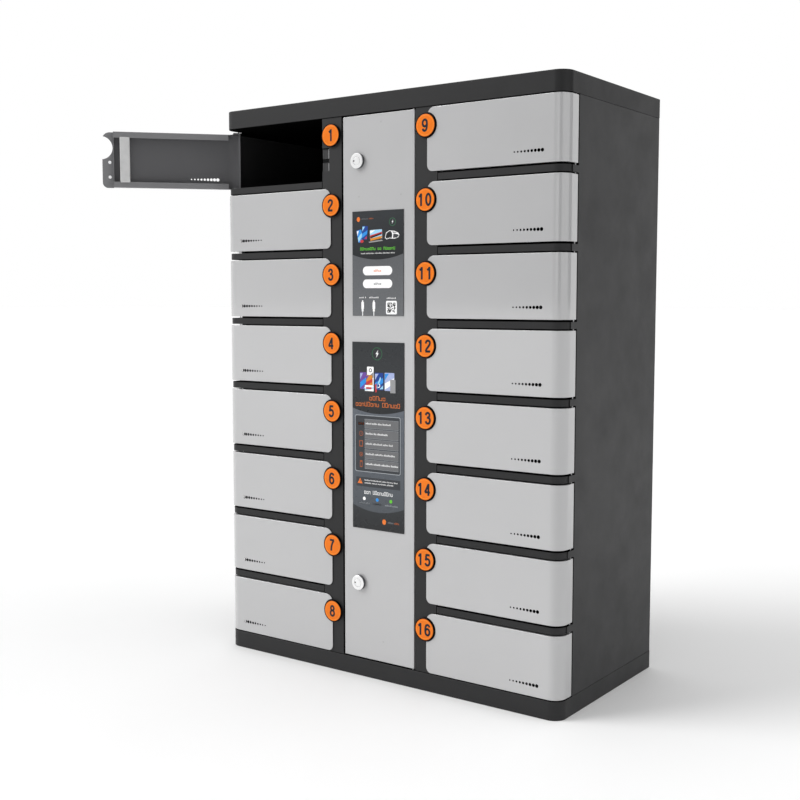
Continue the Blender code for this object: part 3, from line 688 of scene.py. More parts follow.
SIX_TOP = [(0.462, 0.76), (0.41, 0.885), (0.285, 0.935), (0.165, 0.885), (0.09, 0.75), (0.062, 0.56), (0.062, 0.40), (0.08, 0.28)]
STROKES = {     # (points, is it a loop, is it a curve), x and z as shares of the height
    "0": [(oval(0.27, 0.5, 0.208, 0.435), True, False)],
    "1": [([(0.315, 0.0), (0.315, 1.0)], False, False), ([(0.31, 0.955), (0.235, 0.84), (0.10, 0.745)], False, True)],
    "2": [([(0.07, 0.70), (0.10, 0.84), (0.21, 0.93), (0.34, 0.925), (0.45, 0.84), (0.46, 0.70), (0.40, 0.57), (0.28, 0.42),
            (0.15, 0.27), (0.085, 0.14), (0.08, 0.07)], False, True), ([(0.03, 0.065), (0.50, 0.065)], False, False)],
    "3": [([(0.065, 0.73), (0.11, 0.87), (0.24, 0.935), (0.36, 0.90), (0.42, 0.80), (0.40, 0.66), (0.30, 0.565), (0.18, 0.55)], False, True),
          ([(0.18, 0.55), (0.33, 0.535), (0.44, 0.45), (0.468, 0.30), (0.40, 0.13), (0.26, 0.065), (0.12, 0.12), (0.055, 0.26)], False, True)],
    "4": [([(0.365, 0.0), (0.365, 0.99)], False, False), ([(0.375, 0.955), (0.03, 0.27)], False, False),
          ([(0.0, 0.28), (0.52, 0.28)], False, False)],
    "5": [([(0.12, 0.935), (0.475, 0.935)], False, False), ([(0.155, 0.98), (0.085, 0.47)], False, False),
          ([(0.075, 0.49), (0.17, 0.585), (0.30, 0.60), (0.42, 0.52), (0.468, 0.35), (0.41, 0.155), (0.26, 0.065), (0.12, 0.115), (0.05, 0.25)], False, True)],
    "6": [(oval(0.268, 0.33, 0.205, 0.265), True, False), (SIX_TOP, False, True)],
    "7": [([(0.03, 0.935), (0.49, 0.935)], False, False), ([(0.455, 0.91), (0.33, 0.72), (0.23, 0.47), (0.185, 0.24), (0.175, 0.0)], False, True)],
    "8": [(oval(0.265, 0.742, 0.168, 0.193), True, False), (oval(0.265, 0.302, 0.205, 0.237), True, False)],
    "9": [(oval(0.262, 0.67, 0.205, 0.265), True, False), ([(0.53 - x, 1 - z) for x, z in SIX_TOP], False, True)],
}


def numeral(text, height, centre, y, depth):
    """A number's strokes, centred on the badge; crossing strokes lie at slightly different heights."""
    placed = []
    for k, digit in enumerate(text):
        for points, loop, curve in STROKES[digit]:
            placed.append(([(x + 0.745 * k, z) for x, z in (flowing(points) if curve else points)], loop))
    xs = [x for points, loop in placed for x, z in points]
    mid = (min(xs) + max(xs)) / 2
    out = []
    for k, (points, loop) in enumerate(placed):
        pts = [(centre[0] - 0.8 + (x - mid) * height, centre[1] + (z - 0.5) * height) for x, z in points]
        out.append(ribbon(pts, 0.092 * height, y - depth - 0.012 * k, y, loop))
    return merged(out)


cup_profile = [(0, 1.8), (BADGE_R - 0.4, 1.8), (BADGE_R, 1.4), (BADGE_R, -2.7), (BADGE_R - 0.5, -3.3), (BADGE_R - 1.1, -3.4),
               (BADGE_R - 1.7, -3.1), (BADGE_R - 1.9, -2.4), (0, -2.4)]
lens_profile = [(0, -2.2), (22.8, -2.2), (22.9, -2.7), (22.5, -3.05), (21.6, -3.2), (20.6, -3.16), (20.3, -3.04), (19.9, -3.04), (19.6, -3.18), (12, -3.26), (0, -3.3)]
for side in ("left", "right"):
    cx = BADGE_X if side == "left" else WIDTH - BADGE_X
    cups, lenses, digits = [], [], []
    for r in range(ROWS):
        c = (cx, door_z(r) + BADGE_DZ)
        cups.append(lathe(c, cup_profile, 64))
        lenses.append(lathe(c, lens_profile, 64))
        number = r + 1 if side == "left" else r + 9
        digits.append(numeral(str(number), 25.8, c, -3.22, 0.09))
    strip_cad = cut(tidy(nodes["badge_strip_" + side].data.copy()), box(cx - 60, cx + 60, -20, 2.4, 0, HEIGHT))
    piece(strip_cad, f"badge_light_strip_{side}", "black", "cabinet", "badge_strip_" + side)
    piece(merged(cups), f"badge_cups_{side}", "rim", "cabinet", ())
    lens = merged(lenses)
    for poly in lens.polygons:
        x = poly.center.x / MM + WIDTH / 2
        rows = [math.hypot(x - cx, poly.center.z / MM - (door_z(r) + BADGE_DZ)) for r in range(ROWS)]
        poly.material_index = 1 if 19.4 < min(rows) < 20.8 else 0
    piece(lens, f"badge_lenses_{side}", ("orange", "orange_ring"), "cabinet", ())
    piece(merged(digits), f"badge_numerals_{side}", "numeral", "cabinet", ())

# ------------------------------------------------------------------ service door
FREE_EDGE = CDOOR_X0 + 0.9
cdoor = box(FREE_EDGE, CDOOR_X1, FACE_Y, FACE_Y + CDOOR_DEPTH, CDOOR_Z0, CDOOR_Z1)


def cdoor_edges(mid, way):
    return 1.0 if mid.y < W(0, FACE_Y + 1, 0).y else (1.0 if abs(way.y) > 0.9 else 0.2)


cdoor = softened(cdoor, 1.5, 4, 50, cdoor_edges)
cdoor = cut(cdoor, box(FREE_EDGE + SHEET, CDOOR_X1 - SHEET, FACE_Y + SHEET, 60, CDOOR_Z0 + SHEET, CDOOR_Z1 - SHEET))
cdoor = cut(cdoor, box(385, 515, -5, 10, 807, 1023), *[rod((LOCK_X, z), "Y", -5, 10, 9.6, 32) for z in LOCK_Z])
cdoor = join(cdoor, rod((541.0, 6.5), "Z", CDOOR_Z1 - 0.7, CDOOR_Z1 + 4.0, 2.2, 20),
             rod((541.0, 6.5), "Z", CDOOR_Z0 - 4.0, CDOOR_Z0 + 0.7, 2.2, 20))
# the service door's inner faces take the darker painted-shade copy of the door paint
faces_by(cdoor, lambda c, n: 1 if n.y > 0.5 or (FACE_Y + 0.8 < c.y / MM + DEPTH / 2 and FREE_EDGE + 0.8 < c.x / MM + WIDTH / 2 < CDOOR_X1 - 0.8
                                               and CDOOR_Z0 + 0.8 < c.z / MM < CDOOR_Z1 - 0.8) else 0)
piece(cdoor, "service_door_v", ("door", "door_in_shade"), "service_door", "service_door", 30)


# four faint marks on the service door: small discs a little darker than the door paint
marks = [rod((x, z), "Y", FACE_Y - 0.12, FACE_Y + 0.1, 1.9, 24, 1.2)
         for x, z in ((398.9, 1059.0), (510.9, 1058.6), (458.6, 1213.6), (462.9, 87.0))]
piece(merged(marks), "service_door_faint_marks", "door_mark", "service_door", ())


def slotted(profile, centre, slots, sides=64):
    mesh = lathe(centre, profile, sides)
    return cut(mesh, *slots) if slots else mesh


for label, z in (("upper", LOCK_Z[0]), ("lower", LOCK_Z[1])):
    c = (LOCK_X, z)
    body_profile = [(0, 28.5), (8.9, 28.5), (9.2, 28.2), (9.2, 8.0), (13.0, 8.0), (13.0, 3.8), (9.2, 3.8), (9.2, 1.9), (16.2, 1.9),
                    (16.5, 1.6), (16.5, -4.9), (16.35, -5.4), (15.95, -5.7), (15.4, -5.8), (0, -5.8)]
    body = lathe(c, body_profile, 80)
    body = cut(body, rod(c, "Y", -12, 40, 6.15, 48))
    body = softened(cut(body, rod(c, "Y", -12, -3.0, 9.35, 64)), 0.25, 2, 50)
    # the lock body's wall behind its face takes the darker chrome as a painted reflection
    faces_by(body, lambda p, n: 1 if p.y > W(0, -5.0, 0).y else 0)
    piece(body, f"{label}_lock_body_v", ("chrome", "chrome_dark_reflection"), "service_door", f"{label}_lock_body", 26)
    plug_profile = [(0, 33.0), (5.4, 33.0), (5.8, 32.6), (5.8, -3.3), (9.0, -3.3), (9.0, -5.4), (8.9, -5.7), (8.6, -5.85), (0, -5.9)]
    plug = cut(lathe(c, plug_profile, 64), rod((LOCK_X - 6.6, z), "Y", -12, -4.2, 1.7, 20))
    plug = join(plug, softened(box(LOCK_X - 8, LOCK_X + 8, 29.3, 32.0, z - 58, z + 8), 0.6, 3, 50))
    # the key dot's faces take black as painted shade in the hole
    hole = W(LOCK_X - 6.6, 0, z)
    faces_by(plug, lambda p, n: 2 if p.y < W(0, -3.6, 0).y and math.hypot(p.x - hole.x, p.z - hole.z) < 1.8 * MM
             else 0 if p.y < W(0, -3.6, 0).y else 1)
    piece(plug, f"{label}_lock_cam_v", ("chrome", "steel", "black"), f"{label}_lock_cam", f"{label}_lock_cam", 30)
    nut = cut(rod(c, "Y", 4.4, 7.4, 13.0, 6), rod(c, "Y", 0, 12, 9.25, 32))
    piece(softened(nut, 0.5, 2, 40), f"{label}_lock_nut", "steel", "service_door", ())

# ------------------------------------------------------------------ flat artwork, laid down as thin coloured films
ART = {}


class Art:
    """A sheet in the plane y, with u, v running 0 to 1 from its top left corner."""

    def __init__(self, tag, x0, x1, z0, z1, y, body, slot):
        self.tag, self.x0, self.x1, self.z0, self.z1, self.y = tag, x0, x1, z0, z1, y
        self.body, self.slot = body, slot
        self.w, self.h = x1 - x0, z1 - z0
        self.films = {}

    def xz(self, u, v):
        return (self.x0 + u * self.w, self.z1 - v * self.h)

    def add(self, mat, outline_xz, layer):
        y1 = self.y - 0.05 * layer
        self.films.setdefault(mat, []).append(front_prism(outline_xz, y1 - 0.05, y1 + 0.045 * (layer > 0)))

    def rect(self, mat, u0, v0, u1, v1, layer=1, r=0.0):
        xa, za = self.xz(u0, v0)
        xb, zb = self.xz(u1, v1)
        r = min(r, abs(xb - xa) / 2 - 0.001, abs(za - zb) / 2 - 0.001)
        if r <= 0.01:
            out = [(xa, zb), (xb, zb), (xb, za), (xa, za)]
        else:
            out = (arc(xa + r, zb + r, r, 180, 270, 10) + arc(xb - r, zb + r, r, 270, 360, 10)
                   + arc(xb - r, za - r, r, 0, 90, 10) + arc(xa + r, za - r, r, 90, 180, 10))
        self.add(mat, out, layer)

    def disc(self, mat, u, v, r, layer=1, rz=None):
        cx, cz = self.xz(u, v)
        self.add(mat, [(cx + r * math.cos(a), cz + (rz or r) * math.sin(a))
                       for a in [2 * math.pi * k / 40 for k in range(40)]], layer)

    def poly(self, mat, points, layer=1):
        self.add(mat, [self.xz(u, v) for u, v in points], layer)

    def local(self, mat, u, v, points, layer=1, turn=0.0):
        """Points in millimetres about (u, v), x right and z up, turned by degrees."""
        cx, cz = self.xz(u, v)
        c, s = math.cos(math.radians(turn)), math.sin(math.radians(turn))
        self.add(mat, [(cx + x * c - z * s, cz + x * s + z * c) for x, z in points], layer)

    def ring(self, mat, u, v, r, th, layer=1):
        cx, cz = self.xz(u, v)
        n = 48
        for k in range(n):
            a, b = 2 * math.pi * k / n, 2 * math.pi * (k + 1) / n
            out = [(cx + q * math.cos(t), cz + q * math.sin(t)) for q, t in ((r - th, a), (r, a), (r, b), (r - th, b))]
            self.add(mat, out, layer)

    def words(self, mat, u0, u1, v0, v1, lengths, layer=1):
        """A line of print reduced to plain letter-sized blocks, hollow ones where the print is large."""
        cells = sum(lengths) * 2.0 + 0.9 * (len(lengths) - 1)
        k, u = (u1 - u0) / cells, u0
        large = abs(v1 - v0) * self.h > 3.6
        pen = 0.95 / self.w
        count = 0
        for n in lengths:
            for j in range(max(1, round(n * 2))):
                tall = (count * 7 + len(lengths)) % 5 in (0, 3)
                top = v0 if tall else v0 + (v1 - v0) * 0.26
                a, b = u + 0.12 * k, u + 0.88 * k
                if large:
                    rise = 0.95 / self.h
                    for box_ in ((a, top, a + pen, v1), (b - pen, top, b, v1)):
                        self.rect(mat, *box_, layer)
                    if (count * 3) % 4 != 1:
                        self.rect(mat, a + pen, top, b - pen, top + rise, layer)
                    if (count * 5) % 4 != 2:
                        self.rect(mat, a + pen, v1 - rise, b - pen, v1, layer)
                else:
                    self.rect(mat, u + 0.2 * k, top, u + 0.72 * k, v1, layer)
                u += k
                count += 1
            u += 0.9 * k

    def bolt(self, mat, u, v, s, layer=2):
        self.local(mat, u, v, [(0.20 * s, 0.5 * s), (-0.22 * s, -0.04 * s), (-0.02 * s, -0.04 * s), (-0.14 * s, -0.5 * s),
                               (0.24 * s, 0.10 * s), (0.03 * s, 0.10 * s)], layer)

    def device(self, u, v, w, h, frame_mat, fills, turn=0.0, layer=1, r=1.4):
        """A small slab: a frame with banded colour inside it."""
        def slab(w_, h_, r_):
            return (arc(-w_ / 2 + r_, -h_ / 2 + r_, r_, 180, 270, 5) + arc(w_ / 2 - r_, -h_ / 2 + r_, r_, 270, 360, 5)
                    + arc(w_ / 2 - r_, h_ / 2 - r_, r_, 0, 90, 5) + arc(-w_ / 2 + r_, h_ / 2 - r_, r_, 90, 180, 5))
        self.local(frame_mat, u, v, slab(w, h, r), layer, turn)
        self.local(fills[0], u, v, slab(w - 1.2, h - 1.2, max(0.3, r - 0.5)), layer + 1, turn)
        a, b = (w - 1.2) / 2, (h - 1.2) / 2
        if len(fills) > 1:
            self.local(fills[1], u, v, [(-a, -b * 0.9), (a, -b * 0.15), (a, b * 0.45), (-a, -b * 0.2)], layer + 2, turn)
        if len(fills) > 2:
            self.local(fills[2], u, v, [(-a, b * 0.15), (-a * 0.1, b * 0.95), (-a, b * 0.9)], layer + 2, turn)
        if len(fills) > 3:
            self.local(fills[3], u, v, [(a * 0.1, -b * 0.95), (a, -b * 0.9), (a, -b * 0.45)], layer + 2, turn)

    def finish(self):
        for mat, meshes in self.films.items():
            mesh = merged(meshes)
            piece(mesh, f"{self.tag}_{mat}", mat, self.body, ())


for key, hexa, glow in (("ink_white", "f7f7f7", 0.12), ("ink_orange", "ee7c30", 0.04), ("ink_rust", "a8562c", 0.0), ("ink_text", "f0f0f0", 0.06), ("ink_green", "63c436", 0.12),
                        ("ink_ring", "2f6a45", 0.05), ("ink_grey", "9a9a9c", 0.05), ("ink_dim", "6c6d70", 0.03),
                        ("ink_blue", "2f8fe0", 0.08), ("ink_deep", "1c3f8f", 0.05), ("ink_sky", "9fd4f2", 0.06),
                        ("ink_red", "c9383a", 0.05), ("ink_amber", "d98a2b", 0.05), ("ink_violet", "6c4a9c", 0.05),
                        ("ink_black", "17181a", 0.0), ("ink_row", "6f7072", 0.0), ("ink_frame", "3a3d41", 0.0),
                        ("ink_outline", "a3a8ad", 0.04), ("ink_lilac", "a9b6e0", 0.05)):
    MAT[key] = ink(key, hexa, glow)

SX0, SX1, SZ0, SZ1 = 381.9, 518.1, 803.1, 1027.2
MAT["screen_top"] = faded("screen_charcoal", [(0.0, "34373a"), (1.0, "222426")], SZ1 - 110, SZ1, 0.04, 0.2)
MAT["screen_low"] = faded("screen_grey", [(0.0, "5e6063"), (1.0, "6b6d70")], SZ0, SZ0 + 140, 0.05, 0.2)
MAT["print_top"] = faded("panel_charcoal", [(0.0, "2a2d30"), (0.5, "303336"), (1.0, "1c1e20")], 590, 746, 0.0, 0.28)
MAT["print_mid"] = faded("panel_blue_grey", [(0.0, "626870"), (1.0, "4f545a")], 380, 600, 0.0, 0.28)
MAT["print_low"] = faded("panel_foot", [(0.0, "2c2f32"), (1.0, "1c1e20")], 334, 390, 0.0, 0.28)
MAT["glass_black"] = plastic("display_housing_black", "101112", 0.22, coat=0.5)


def sag_curve(u0, u1, v_edge_l, v_mid, v_edge_r, n=28):
    pts = []
    for k in range(n + 1):
        t = k / n
        u = u0 + (u1 - u0) * t
        v = v_edge_l * (1 - t) * (1 - 2 * t) + v_mid * 4 * t * (1 - t) + v_edge_r * t * (2 * t - 1)
        pts.append((u, v))
    return pts


scr = Art("screen", SX0, SX1, SZ0, SZ1, 0.9, "service_door", "screen_glass")
scr.poly("screen_low", [(0, 0.40), (0, 1), (1, 1), (1, 0.40)], 0)
scr.poly("screen_top", [(0, 0)] + sag_curve(0, 1, 0.412, 0.463, 0.412) + [(1, 0)], 1)
scr.disc("ink_orange", 0.12, 0.075, 4.4, 2, 5.2)
scr.words("ink_dim", 0.18, 0.31, 0.066, 0.078, [3], 2)
scr.words("ink_rust", 0.325, 0.42, 0.065, 0.078, [2], 2)
scr.ring("ink_ring", 0.79, 0.112, 8.6, 1.1, 2)
scr.bolt("ink_white", 0.79, 0.112, 9.5, 2)
scr.device(0.15, 0.235, 14, 27, "ink_deep", ["ink_blue", "ink_sky", "ink_white", "ink_deep"], 12, 2)
scr.device(0.245, 0.205, 15, 29, "ink_deep", ["ink_deep", "ink_blue", "ink_sky", "ink_red"], -6, 3)
scr.device(0.47, 0.222, 33, 19.5, "ink_grey", ["ink_sky", "ink_red", "ink_white", "ink_amber"], 2, 3, 0.8)
scr.poly("ink_amber", [(0.36, 0.262), (0.575, 0.240), (0.575, 0.262), (0.36, 0.285)], 6)
scr.poly("ink_black", [(0.36, 0.245), (0.575, 0.212), (0.575, 0.226), (0.36, 0.262)], 6)
scr.poly("ink_grey", [(0.32, 0.292), (0.58, 0.276), (0.61, 0.287), (0.34, 0.302)], 6)
scr.disc("ink_red", 0.19, 0.285, 4.6, 6, 3.4)
scr.local("ink_white", 0.785, 0.232, [(-19, -6), (-15, -9.5), (-7, -7.5), (0, -8.5), (8, -8.5), (16, -6), (19, -1), (16, 3.5), (6, 7.5), (-7, 9), (-16, 4.5)], 2)
scr.local("ink_frame", 0.785, 0.232, [(-17.6, -5.6), (-14.4, -8.3), (-7, -6.3), (-1, -7.2), (0.5, 0), (-2.5, 7.2), (-7, 7.7), (-15, 3.6)], 3)
scr.local("ink_black", 0.785, 0.232, [(-15, -4.2), (-11, -6.2), (-5, -4.4), (-2.4, -2.4), (-3.4, 3.4), (-9, 4.6), (-14, 1.6)], 4)
scr.local("ink_frame", 0.785, 0.232, [(2.2, -7.1), (12, -6.6), (16.6, -3.2), (17, -0.8), (9, 1.2), (3.2, 1.8)], 3)
scr.local("ink_grey", 0.785, 0.232, [(1.5, 3.2), (9, 2.6), (14, 3.0), (6, 6.0), (0.6, 7.2)], 3)
scr.words("ink_green", 0.15, 0.845, 0.345, 0.372, [4, 1, 3], 2)
scr.words("ink_text", 0.17, 0.835, 0.397, 0.408, [3, 6, 5, 5, 3], 2)
for va, vb, mark in ((0.527, 0.612, "ink_orange"), (0.652, 0.735, "ink_dim")):
    scr.rect("ink_dim", 0.200, va - 0.005, 0.793, vb + 0.006, 1, 12)
    scr.rect("ink_white", 0.208, va, 0.785, vb, 2, 12)
    scr.words(mark, 0.42, 0.575, (va + vb) / 2 - 0.010, (va + vb) / 2 + 0.010, [2.5], 3)
scr.words("ink_text", 0.13, 0.27, 0.818, 0.832, [2, 0.5], 2)
scr.words("ink_text", 0.33, 0.52, 0.818, 0.832, [4], 2)
scr.words("ink_text", 0.675, 0.86, 0.824, 0.838, [3.5], 2)
for u in (0.2, 0.424):
    scr.rect("ink_white", u - 0.013, 0.852, u + 0.013, 0.868, 2, 1)
    scr.rect("ink_white", u - 0.026, 0.866, u + 0.026, 0.940, 2, 2.0)
    scr.rect("ink_white", u - 0.019, 0.940, u + 0.019, 0.960, 2, 0.8)
    scr.rect("ink_white", u - 0.007, 0.955, u + 0.007, 1.0, 2)
scr.rect("ink_white", 0.664, 0.857, 0.876, 0.985, 2, 3)
rng = random.Random(7)
for i in range(11):
    for j in range(11):
        corner = (i < 3 and j < 3) or (i > 7 and j < 3) or (i < 3 and j > 7)
        ringed = corner and not (i in (1, 9) and j in (1,) or (i == 1 and j == 9))
        if (ringed or (not corner and rng.random() < 0.48)) and True:
            u = 0.692 + i * 0.0142
            v = 0.874 + j * 0.0086
            scr.rect("ink_black", u, v, u + 0.0138, v + 0.0084, 3)
scr.finish()
piece(tidy(nodes["touchscreen"].data.copy()), "touchscreen_v", "glass_black", "service_door", "touchscreen")

pan = Art("panel", 380.3, 519.7, 334.8, 745.7, 0.9, "service_door", "printed_panel")
pan.poly("print_mid", [(0, 0.34), (0, 0.92), (1, 0.92), (1, 0.34)], 0)
pan.poly("print_top", [(0, 0)] + sag_curve(0, 1, 0.352, 0.378, 0.352) + [(1, 0)], 1)
pan.poly("print_low", [(0, 1)] + sag_curve(0, 1, 0.872, 0.905, 0.872) + [(1, 1)], 1)
pan.ring("ink_ring", 0.486, 0.060, 13.8, 1.3, 2)
pan.bolt("ink_white", 0.486, 0.060, 18, 2)
pan.device(0.215, 0.205, 18, 37, "ink_violet", ["ink_violet", "ink_blue", "ink_lilac", "ink_sky"], 0, 2)
pan.device(0.355, 0.178, 18, 40, "ink_white", ["ink_white", "ink_grey"], 0, 2)
pan.ring("ink_black", 0.357, 0.148, 4.2, 1.6, 4)
pan.device(0.335, 0.205, 18, 26, "ink_frame", ["ink_amber", "ink_red", "ink_violet", "ink_amber"], 0, 4)
pan.device(0.335, 0.243, 24, 13, "ink_white", ["ink_white", "ink_sky"], 0, 7, 1.0)
pan.rect("ink_red", 0.27, 0.238, 0.38, 0.248, 10)
pan.device(0.525, 0.205, 23, 37, "ink_deep", ["ink_deep", "ink_blue", "ink_lilac", "ink_sky"], 0, 2)
pan.poly("ink_sky", [(0.47, 0.235), (0.55, 0.180), (0.565, 0.190), (0.49, 0.245)], 6)
pan.disc("ink_white", 0.515, 0.228, 4.5, 6)
pan.disc("ink_deep", 0.515, 0.228, 2.6, 7)
pan.poly("ink_red", [(0.445, 0.225), (0.475, 0.215), (0.482, 0.260), (0.455, 0.265)], 8)
pan.device(0.725, 0.205, 26, 39, "ink_lilac", ["ink_lilac", "ink_white", "ink_blue", "ink_sky"], 0, 2)
pan.device(0.79, 0.228, 14, 29, "ink_grey", ["ink_grey"], 0, 5)
pan.words("ink_orange", 0.33, 0.65, 0.284, 0.307, [2.5], 2)
pan.words("ink_orange", 0.06, 0.93, 0.317, 0.341, [4, 3], 2)
pan.rect("ink_outline", 0.050, 0.388, 0.935, 0.693, 1, 4)
pan.rect("ink_frame", 0.060, 0.3915, 0.925, 0.6895, 2, 3.4)
rows = [(0.410, 0.457), (0.464, 0.511), (0.518, 0.565), (0.573, 0.620), (0.627, 0.674)]
line_lengths = [(0.76, [4, 4, 3, 6]), (0.70, [5, 2, 7]), (0.80, [5, 7, 4, 3]), (0.84, [6, 6, 8]), (0.90, [5, 5, 6, 5])]
for k, ((va, vb), (u_end, words)) in enumerate(zip(rows, line_lengths)):
    pan.rect("ink_outline", 0.241, va - 0.0012, 0.897, vb + 0.0012, 3)
    pan.rect("ink_row", 0.243, va, 0.895, vb, 4)
    mid = (va + vb) / 2
    pan.words("ink_text", 0.258, u_end - 0.01, mid - 0.0065, mid + 0.0035, words, 5)
    if k == 0:
        pan.words("ink_rust", 0.115, 0.225, mid - 0.008, mid + 0.008, [2, 2, 2], 3)
    elif k == 1:
        pan.ring("ink_rust", 0.17, mid, 5.4, 1.1, 3)
        pan.bolt("ink_rust", 0.17, mid, 6.0, 3)
    elif k == 2:
        pan.rect("ink_rust", 0.135, mid - 0.017, 0.205, mid + 0.017, 3, 1.5)
        pan.rect("ink_frame", 0.147, mid - 0.012, 0.193, mid + 0.012, 4, 1.0)
    elif k == 3:
        pan.ring("ink_rust", 0.17, mid + 0.003, 4.8, 1.1, 3)
        pan.disc("ink_rust", 0.17, mid + 0.003, 1.8, 3)
    else:
        pan.rect("ink_rust", 0.145, mid - 0.018, 0.195, mid + 0.018, 3, 1.2)
        pan.rect("ink_frame", 0.154, mid - 0.010, 0.186, mid + 0.013, 4, 0.6)
pan.rect("ink_frame", 0.07, 0.722, 0.93, 0.772, 1, 1.0)
pan.poly("ink_orange", [(0.10, 0.757), (0.195, 0.757), (0.1475, 0.728)], 2)
pan.rect("ink_frame", 0.143, 0.738, 0.152, 0.749, 3)
pan.words("ink_text", 0.235, 0.88, 0.733, 0.740, [5, 8, 4, 5, 3], 2)
pan.words("ink_text", 0.235, 0.80, 0.748, 0.755, [5, 4, 6, 5], 2)
pan.words("ink_white", 0.225, 0.79, 0.790, 0.811, [1.5, 4.5], 2)
for u, col, ua, ub in ((0.23, "ink_white", 0.13, 0.34), (0.486, "ink_blue", 0.41, 0.565), (0.75, "ink_green", 0.635, 0.88)):
    pan.disc(col, u, 0.837, 3.9, 2)
    pan.words("ink_outline", ua, ub, 0.856, 0.865, [5, 4], 2)
pan.disc("ink_orange", 0.62, 0.951, 5.0, 2, 6.0)
pan.words("ink_dim", 0.69, 0.80, 0.946, 0.956, [3], 2)
pan.words("ink_rust", 0.815, 0.91, 0.946, 0.956, [2], 2)
pan.finish()
piece(softened(tidy(nodes["graphic_panel"].data.copy()), 0.25, 2), "graphic_panel_v", "print_low", "service_door", "graphic_panel")

# ------------------------------------------------------------------ inside and back
for node, mat, width, slot in (("power_supply", "steel", 0.8, "zinc_steel"), ("control_box", "pcb_box", 0.8, "dark_plastic"),
                               ("charger_hub_left", "black", 0.8, "dark_plastic"), ("charger_hub_right", "black", 0.8, "dark_plastic"),
                               ("power_inlet", "black", 0.7, "dark_plastic"), ("fan_housing", "black", 0.8, "dark_plastic")):
    from_cad(node, mat, width, 3)
from_cad("power_switch", "black", 0.5, 3, body="power_switch")
from_cad("fan_rotor", "black", 0.5, 2, body="fan_rotor")

heads = []
for x in (12, 155, 300, 450, 600, 745, 888):
    for z in (52, 1222):
        heads.append((x, z))
for x in (10, 890):
    for z in (286, 520, 754, 988):
        heads.append((x, z))
screws = []
CROSS = ((0, 1, 1, 0), (0, 1, 0, 1), (1, 0, 0, 1), (1, 0, 0, -1), (0, 1, 0, -1), (0, 1, -1, 0),
         (0, -1, -1, 0), (0, -1, 0, -1), (-1, 0, 0, -1), (-1, 0, 0, 1), (0, -1, 0, 1), (0, -1, 1, 0))
for x, z in heads:
    head = lathe((x, z), [(0, 434.0), (3.9, 434.0), (3.9, 434.5), (3.4, 435.4), (2.2, 436.0), (0, 436.2)], 24)
    screws.append(cut(head, front_prism([(x + 2.2 * a + 0.42 * b, z + 2.2 * c + 0.42 * d) for a, b, c, d in CROSS], 435.2, 438)))
piece(merged(screws), "rear_panel_screws", "screw", "cabinet", (), 40)
fan_screws = [lathe((450 + dx, 1110 + dz), [(0, 434.0), (3.6, 434.0), (3.4, 434.9), (2.0, 435.7), (0, 435.9)], 20)
              for dx in (-38, 38) for dz in (-38, 38)]
piece(merged(fan_screws), "fan_screws", "screw", "cabinet", (), 40)

# ------------------------------------------------------------------ floor, light, camera
def floor_material():
    m = Tree("pale_floor")
    colour = m.ramp(m.noise(1.5, 3.0), [(0.3, (0.94, 0.94, 0.94)), (0.7, (0.96, 0.96, 0.96))])
    m.set(Base_Color=colour, Roughness=0.6)
    m.bsdf.inputs["Specular IOR Level"].default_value = 0.2
    return m.mat


bm = bmesh.new()
bmesh.ops.create_grid(bm, x_segments=2, y_segments=2, size=90.0)
floor = bpy.data.objects.new("floor", to_mesh(bm, "floor"))
bpy.context.scene.collection.objects.link(floor)
floor.data.materials.append(floor_material())

world = bpy.data.worlds.new("studio")
world.use_nodes = True
bpy.context.scene.world = world
wt = world.node_tree
background = wt.nodes["Background"]
background.inputs["Color"].default_value = (1.0, 1.0, 1.0, 1.0)
background.inputs["Strength"].default_value = 0.3
backdrop = wt.nodes.new("ShaderNodeBackground")
backdrop.inputs["Color"].default_value = (1.0, 1.0, 1.0, 1.0)
backdrop.inputs["Strength"].default_value = 1.0
glossy_sky = wt.nodes.new("ShaderNodeBackground")
glossy_sky.inputs["Strength"].default_value = 0.9


def sky_math(operation, *values):
    n = wt.nodes.new("ShaderNodeMath")
    n.operation = operation
    for socket, value in zip(n.inputs, values):
        if isinstance(value, bpy.types.NodeSocket):
            wt.links.new(value, socket)
        else:
            socket.default_value = value
    return n.outputs[0]


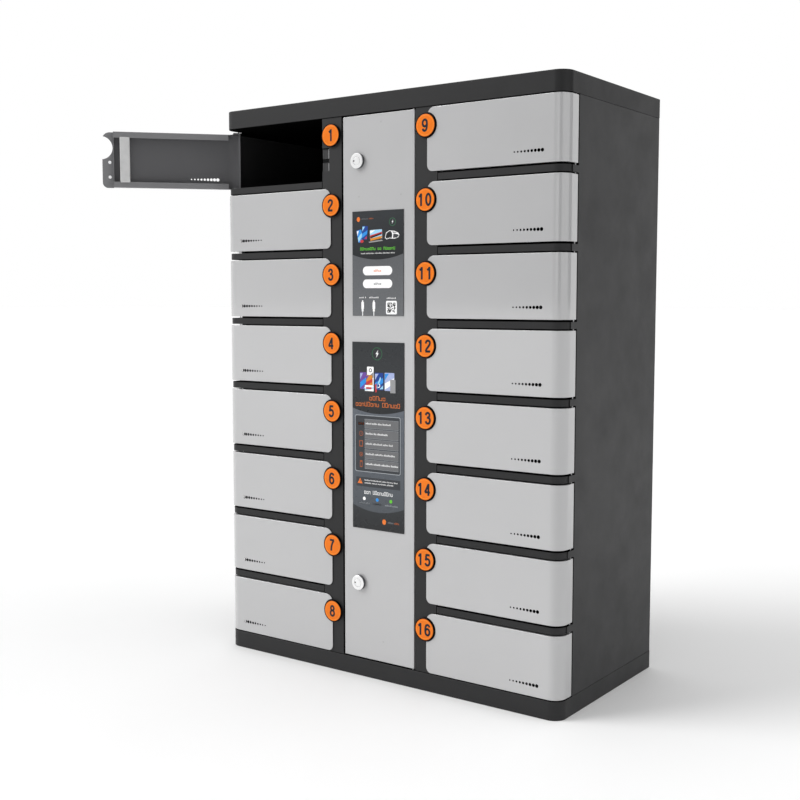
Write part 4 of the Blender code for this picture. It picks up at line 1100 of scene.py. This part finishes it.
# three dark studio flags stand beside the white walls, as bands of direction round the kiosk
way = wt.nodes.new("ShaderNodeSeparateXYZ")
wt.links.new(wt.nodes.new("ShaderNodeTexCoord").outputs["Generated"], way.inputs[0])
bearing = sky_math("ARCTAN2", way.outputs["X"], sky_math("MULTIPLY", way.outputs["Y"], -1.0))
level = None
for centre, half, fade, depth in ((-16, 10, 20, 0.95), (34, 10, 4, 0.95), (124, 15, 6, 0.97)):
    centre, half, fade = math.radians(centre), math.radians(half), math.radians(fade)
    off = sky_math("ABSOLUTE", sky_math("SUBTRACT", bearing, centre))
    band = wt.nodes.new("ShaderNodeMapRange")
    wt.links.new(off, band.inputs["Value"])
    for key, value in (("From Min", half), ("From Max", half + fade), ("To Min", 1 - depth), ("To Max", 1.0)):
        band.inputs[key].default_value = value
    level = band.outputs[0] if level is None else sky_math("MULTIPLY", level, band.outputs[0])
wt.links.new(level, glossy_sky.inputs["Color"])
rays = wt.nodes.new("ShaderNodeLightPath")
for_gloss = wt.nodes.new("ShaderNodeMixShader")
seen = wt.nodes.new("ShaderNodeMixShader")
wt.links.new(rays.outputs["Is Glossy Ray"], for_gloss.inputs[0])
wt.links.new(background.outputs[0], for_gloss.inputs[1])
wt.links.new(glossy_sky.outputs[0], for_gloss.inputs[2])
wt.links.new(rays.outputs["Is Camera Ray"], seen.inputs[0])
wt.links.new(for_gloss.outputs[0], seen.inputs[1])
wt.links.new(backdrop.outputs[0], seen.inputs[2])
wt.links.new(seen.outputs[0], wt.nodes["World Output"].inputs["Surface"])


def sun(name, towards, strength, spread, glint=True):
    """A very soft, even light shining from the direction given."""
    light = bpy.data.lights.new(name, "SUN")
    light.energy = strength
    light.angle = math.radians(spread)
    obj = bpy.data.objects.new(name, light)
    obj.rotation_euler = Vector(towards).to_track_quat("Z", "Y").to_euler()
    obj.location = Vector(towards).normalized() * 4.0
    obj.visible_glossy = glint
    bpy.context.scene.collection.objects.link(obj)
    return obj


sun("key", (-0.64, -0.52, 0.58), 1.78, 34)
sun("side", (0.86, 0.40, 0.32), 0.39, 45, False)
sun("overhead", (0.0, 0.0, 1.0), 1.34, 70)

camera = bpy.data.cameras.new("camera")
camera.sensor_width = 36.0
camera.lens = 51.893
camera.clip_start, camera.clip_end = 0.05, 400.0
eye = bpy.data.objects.new("camera", camera)
yaw, pitch = 0.6267, -0.0871
eye.location = (1.4985, -2.2038, 0.8384)
look = Vector((-math.sin(yaw) * math.cos(pitch), math.cos(yaw) * math.cos(pitch), math.sin(pitch)))
eye.rotation_euler = look.to_track_quat("-Z", "Y").to_euler()
bpy.context.scene.collection.objects.link(eye)
bpy.context.scene.camera = eye
bpy.context.scene.view_settings.view_transform = "Standard"

bpy.data.collections.remove(scratch)
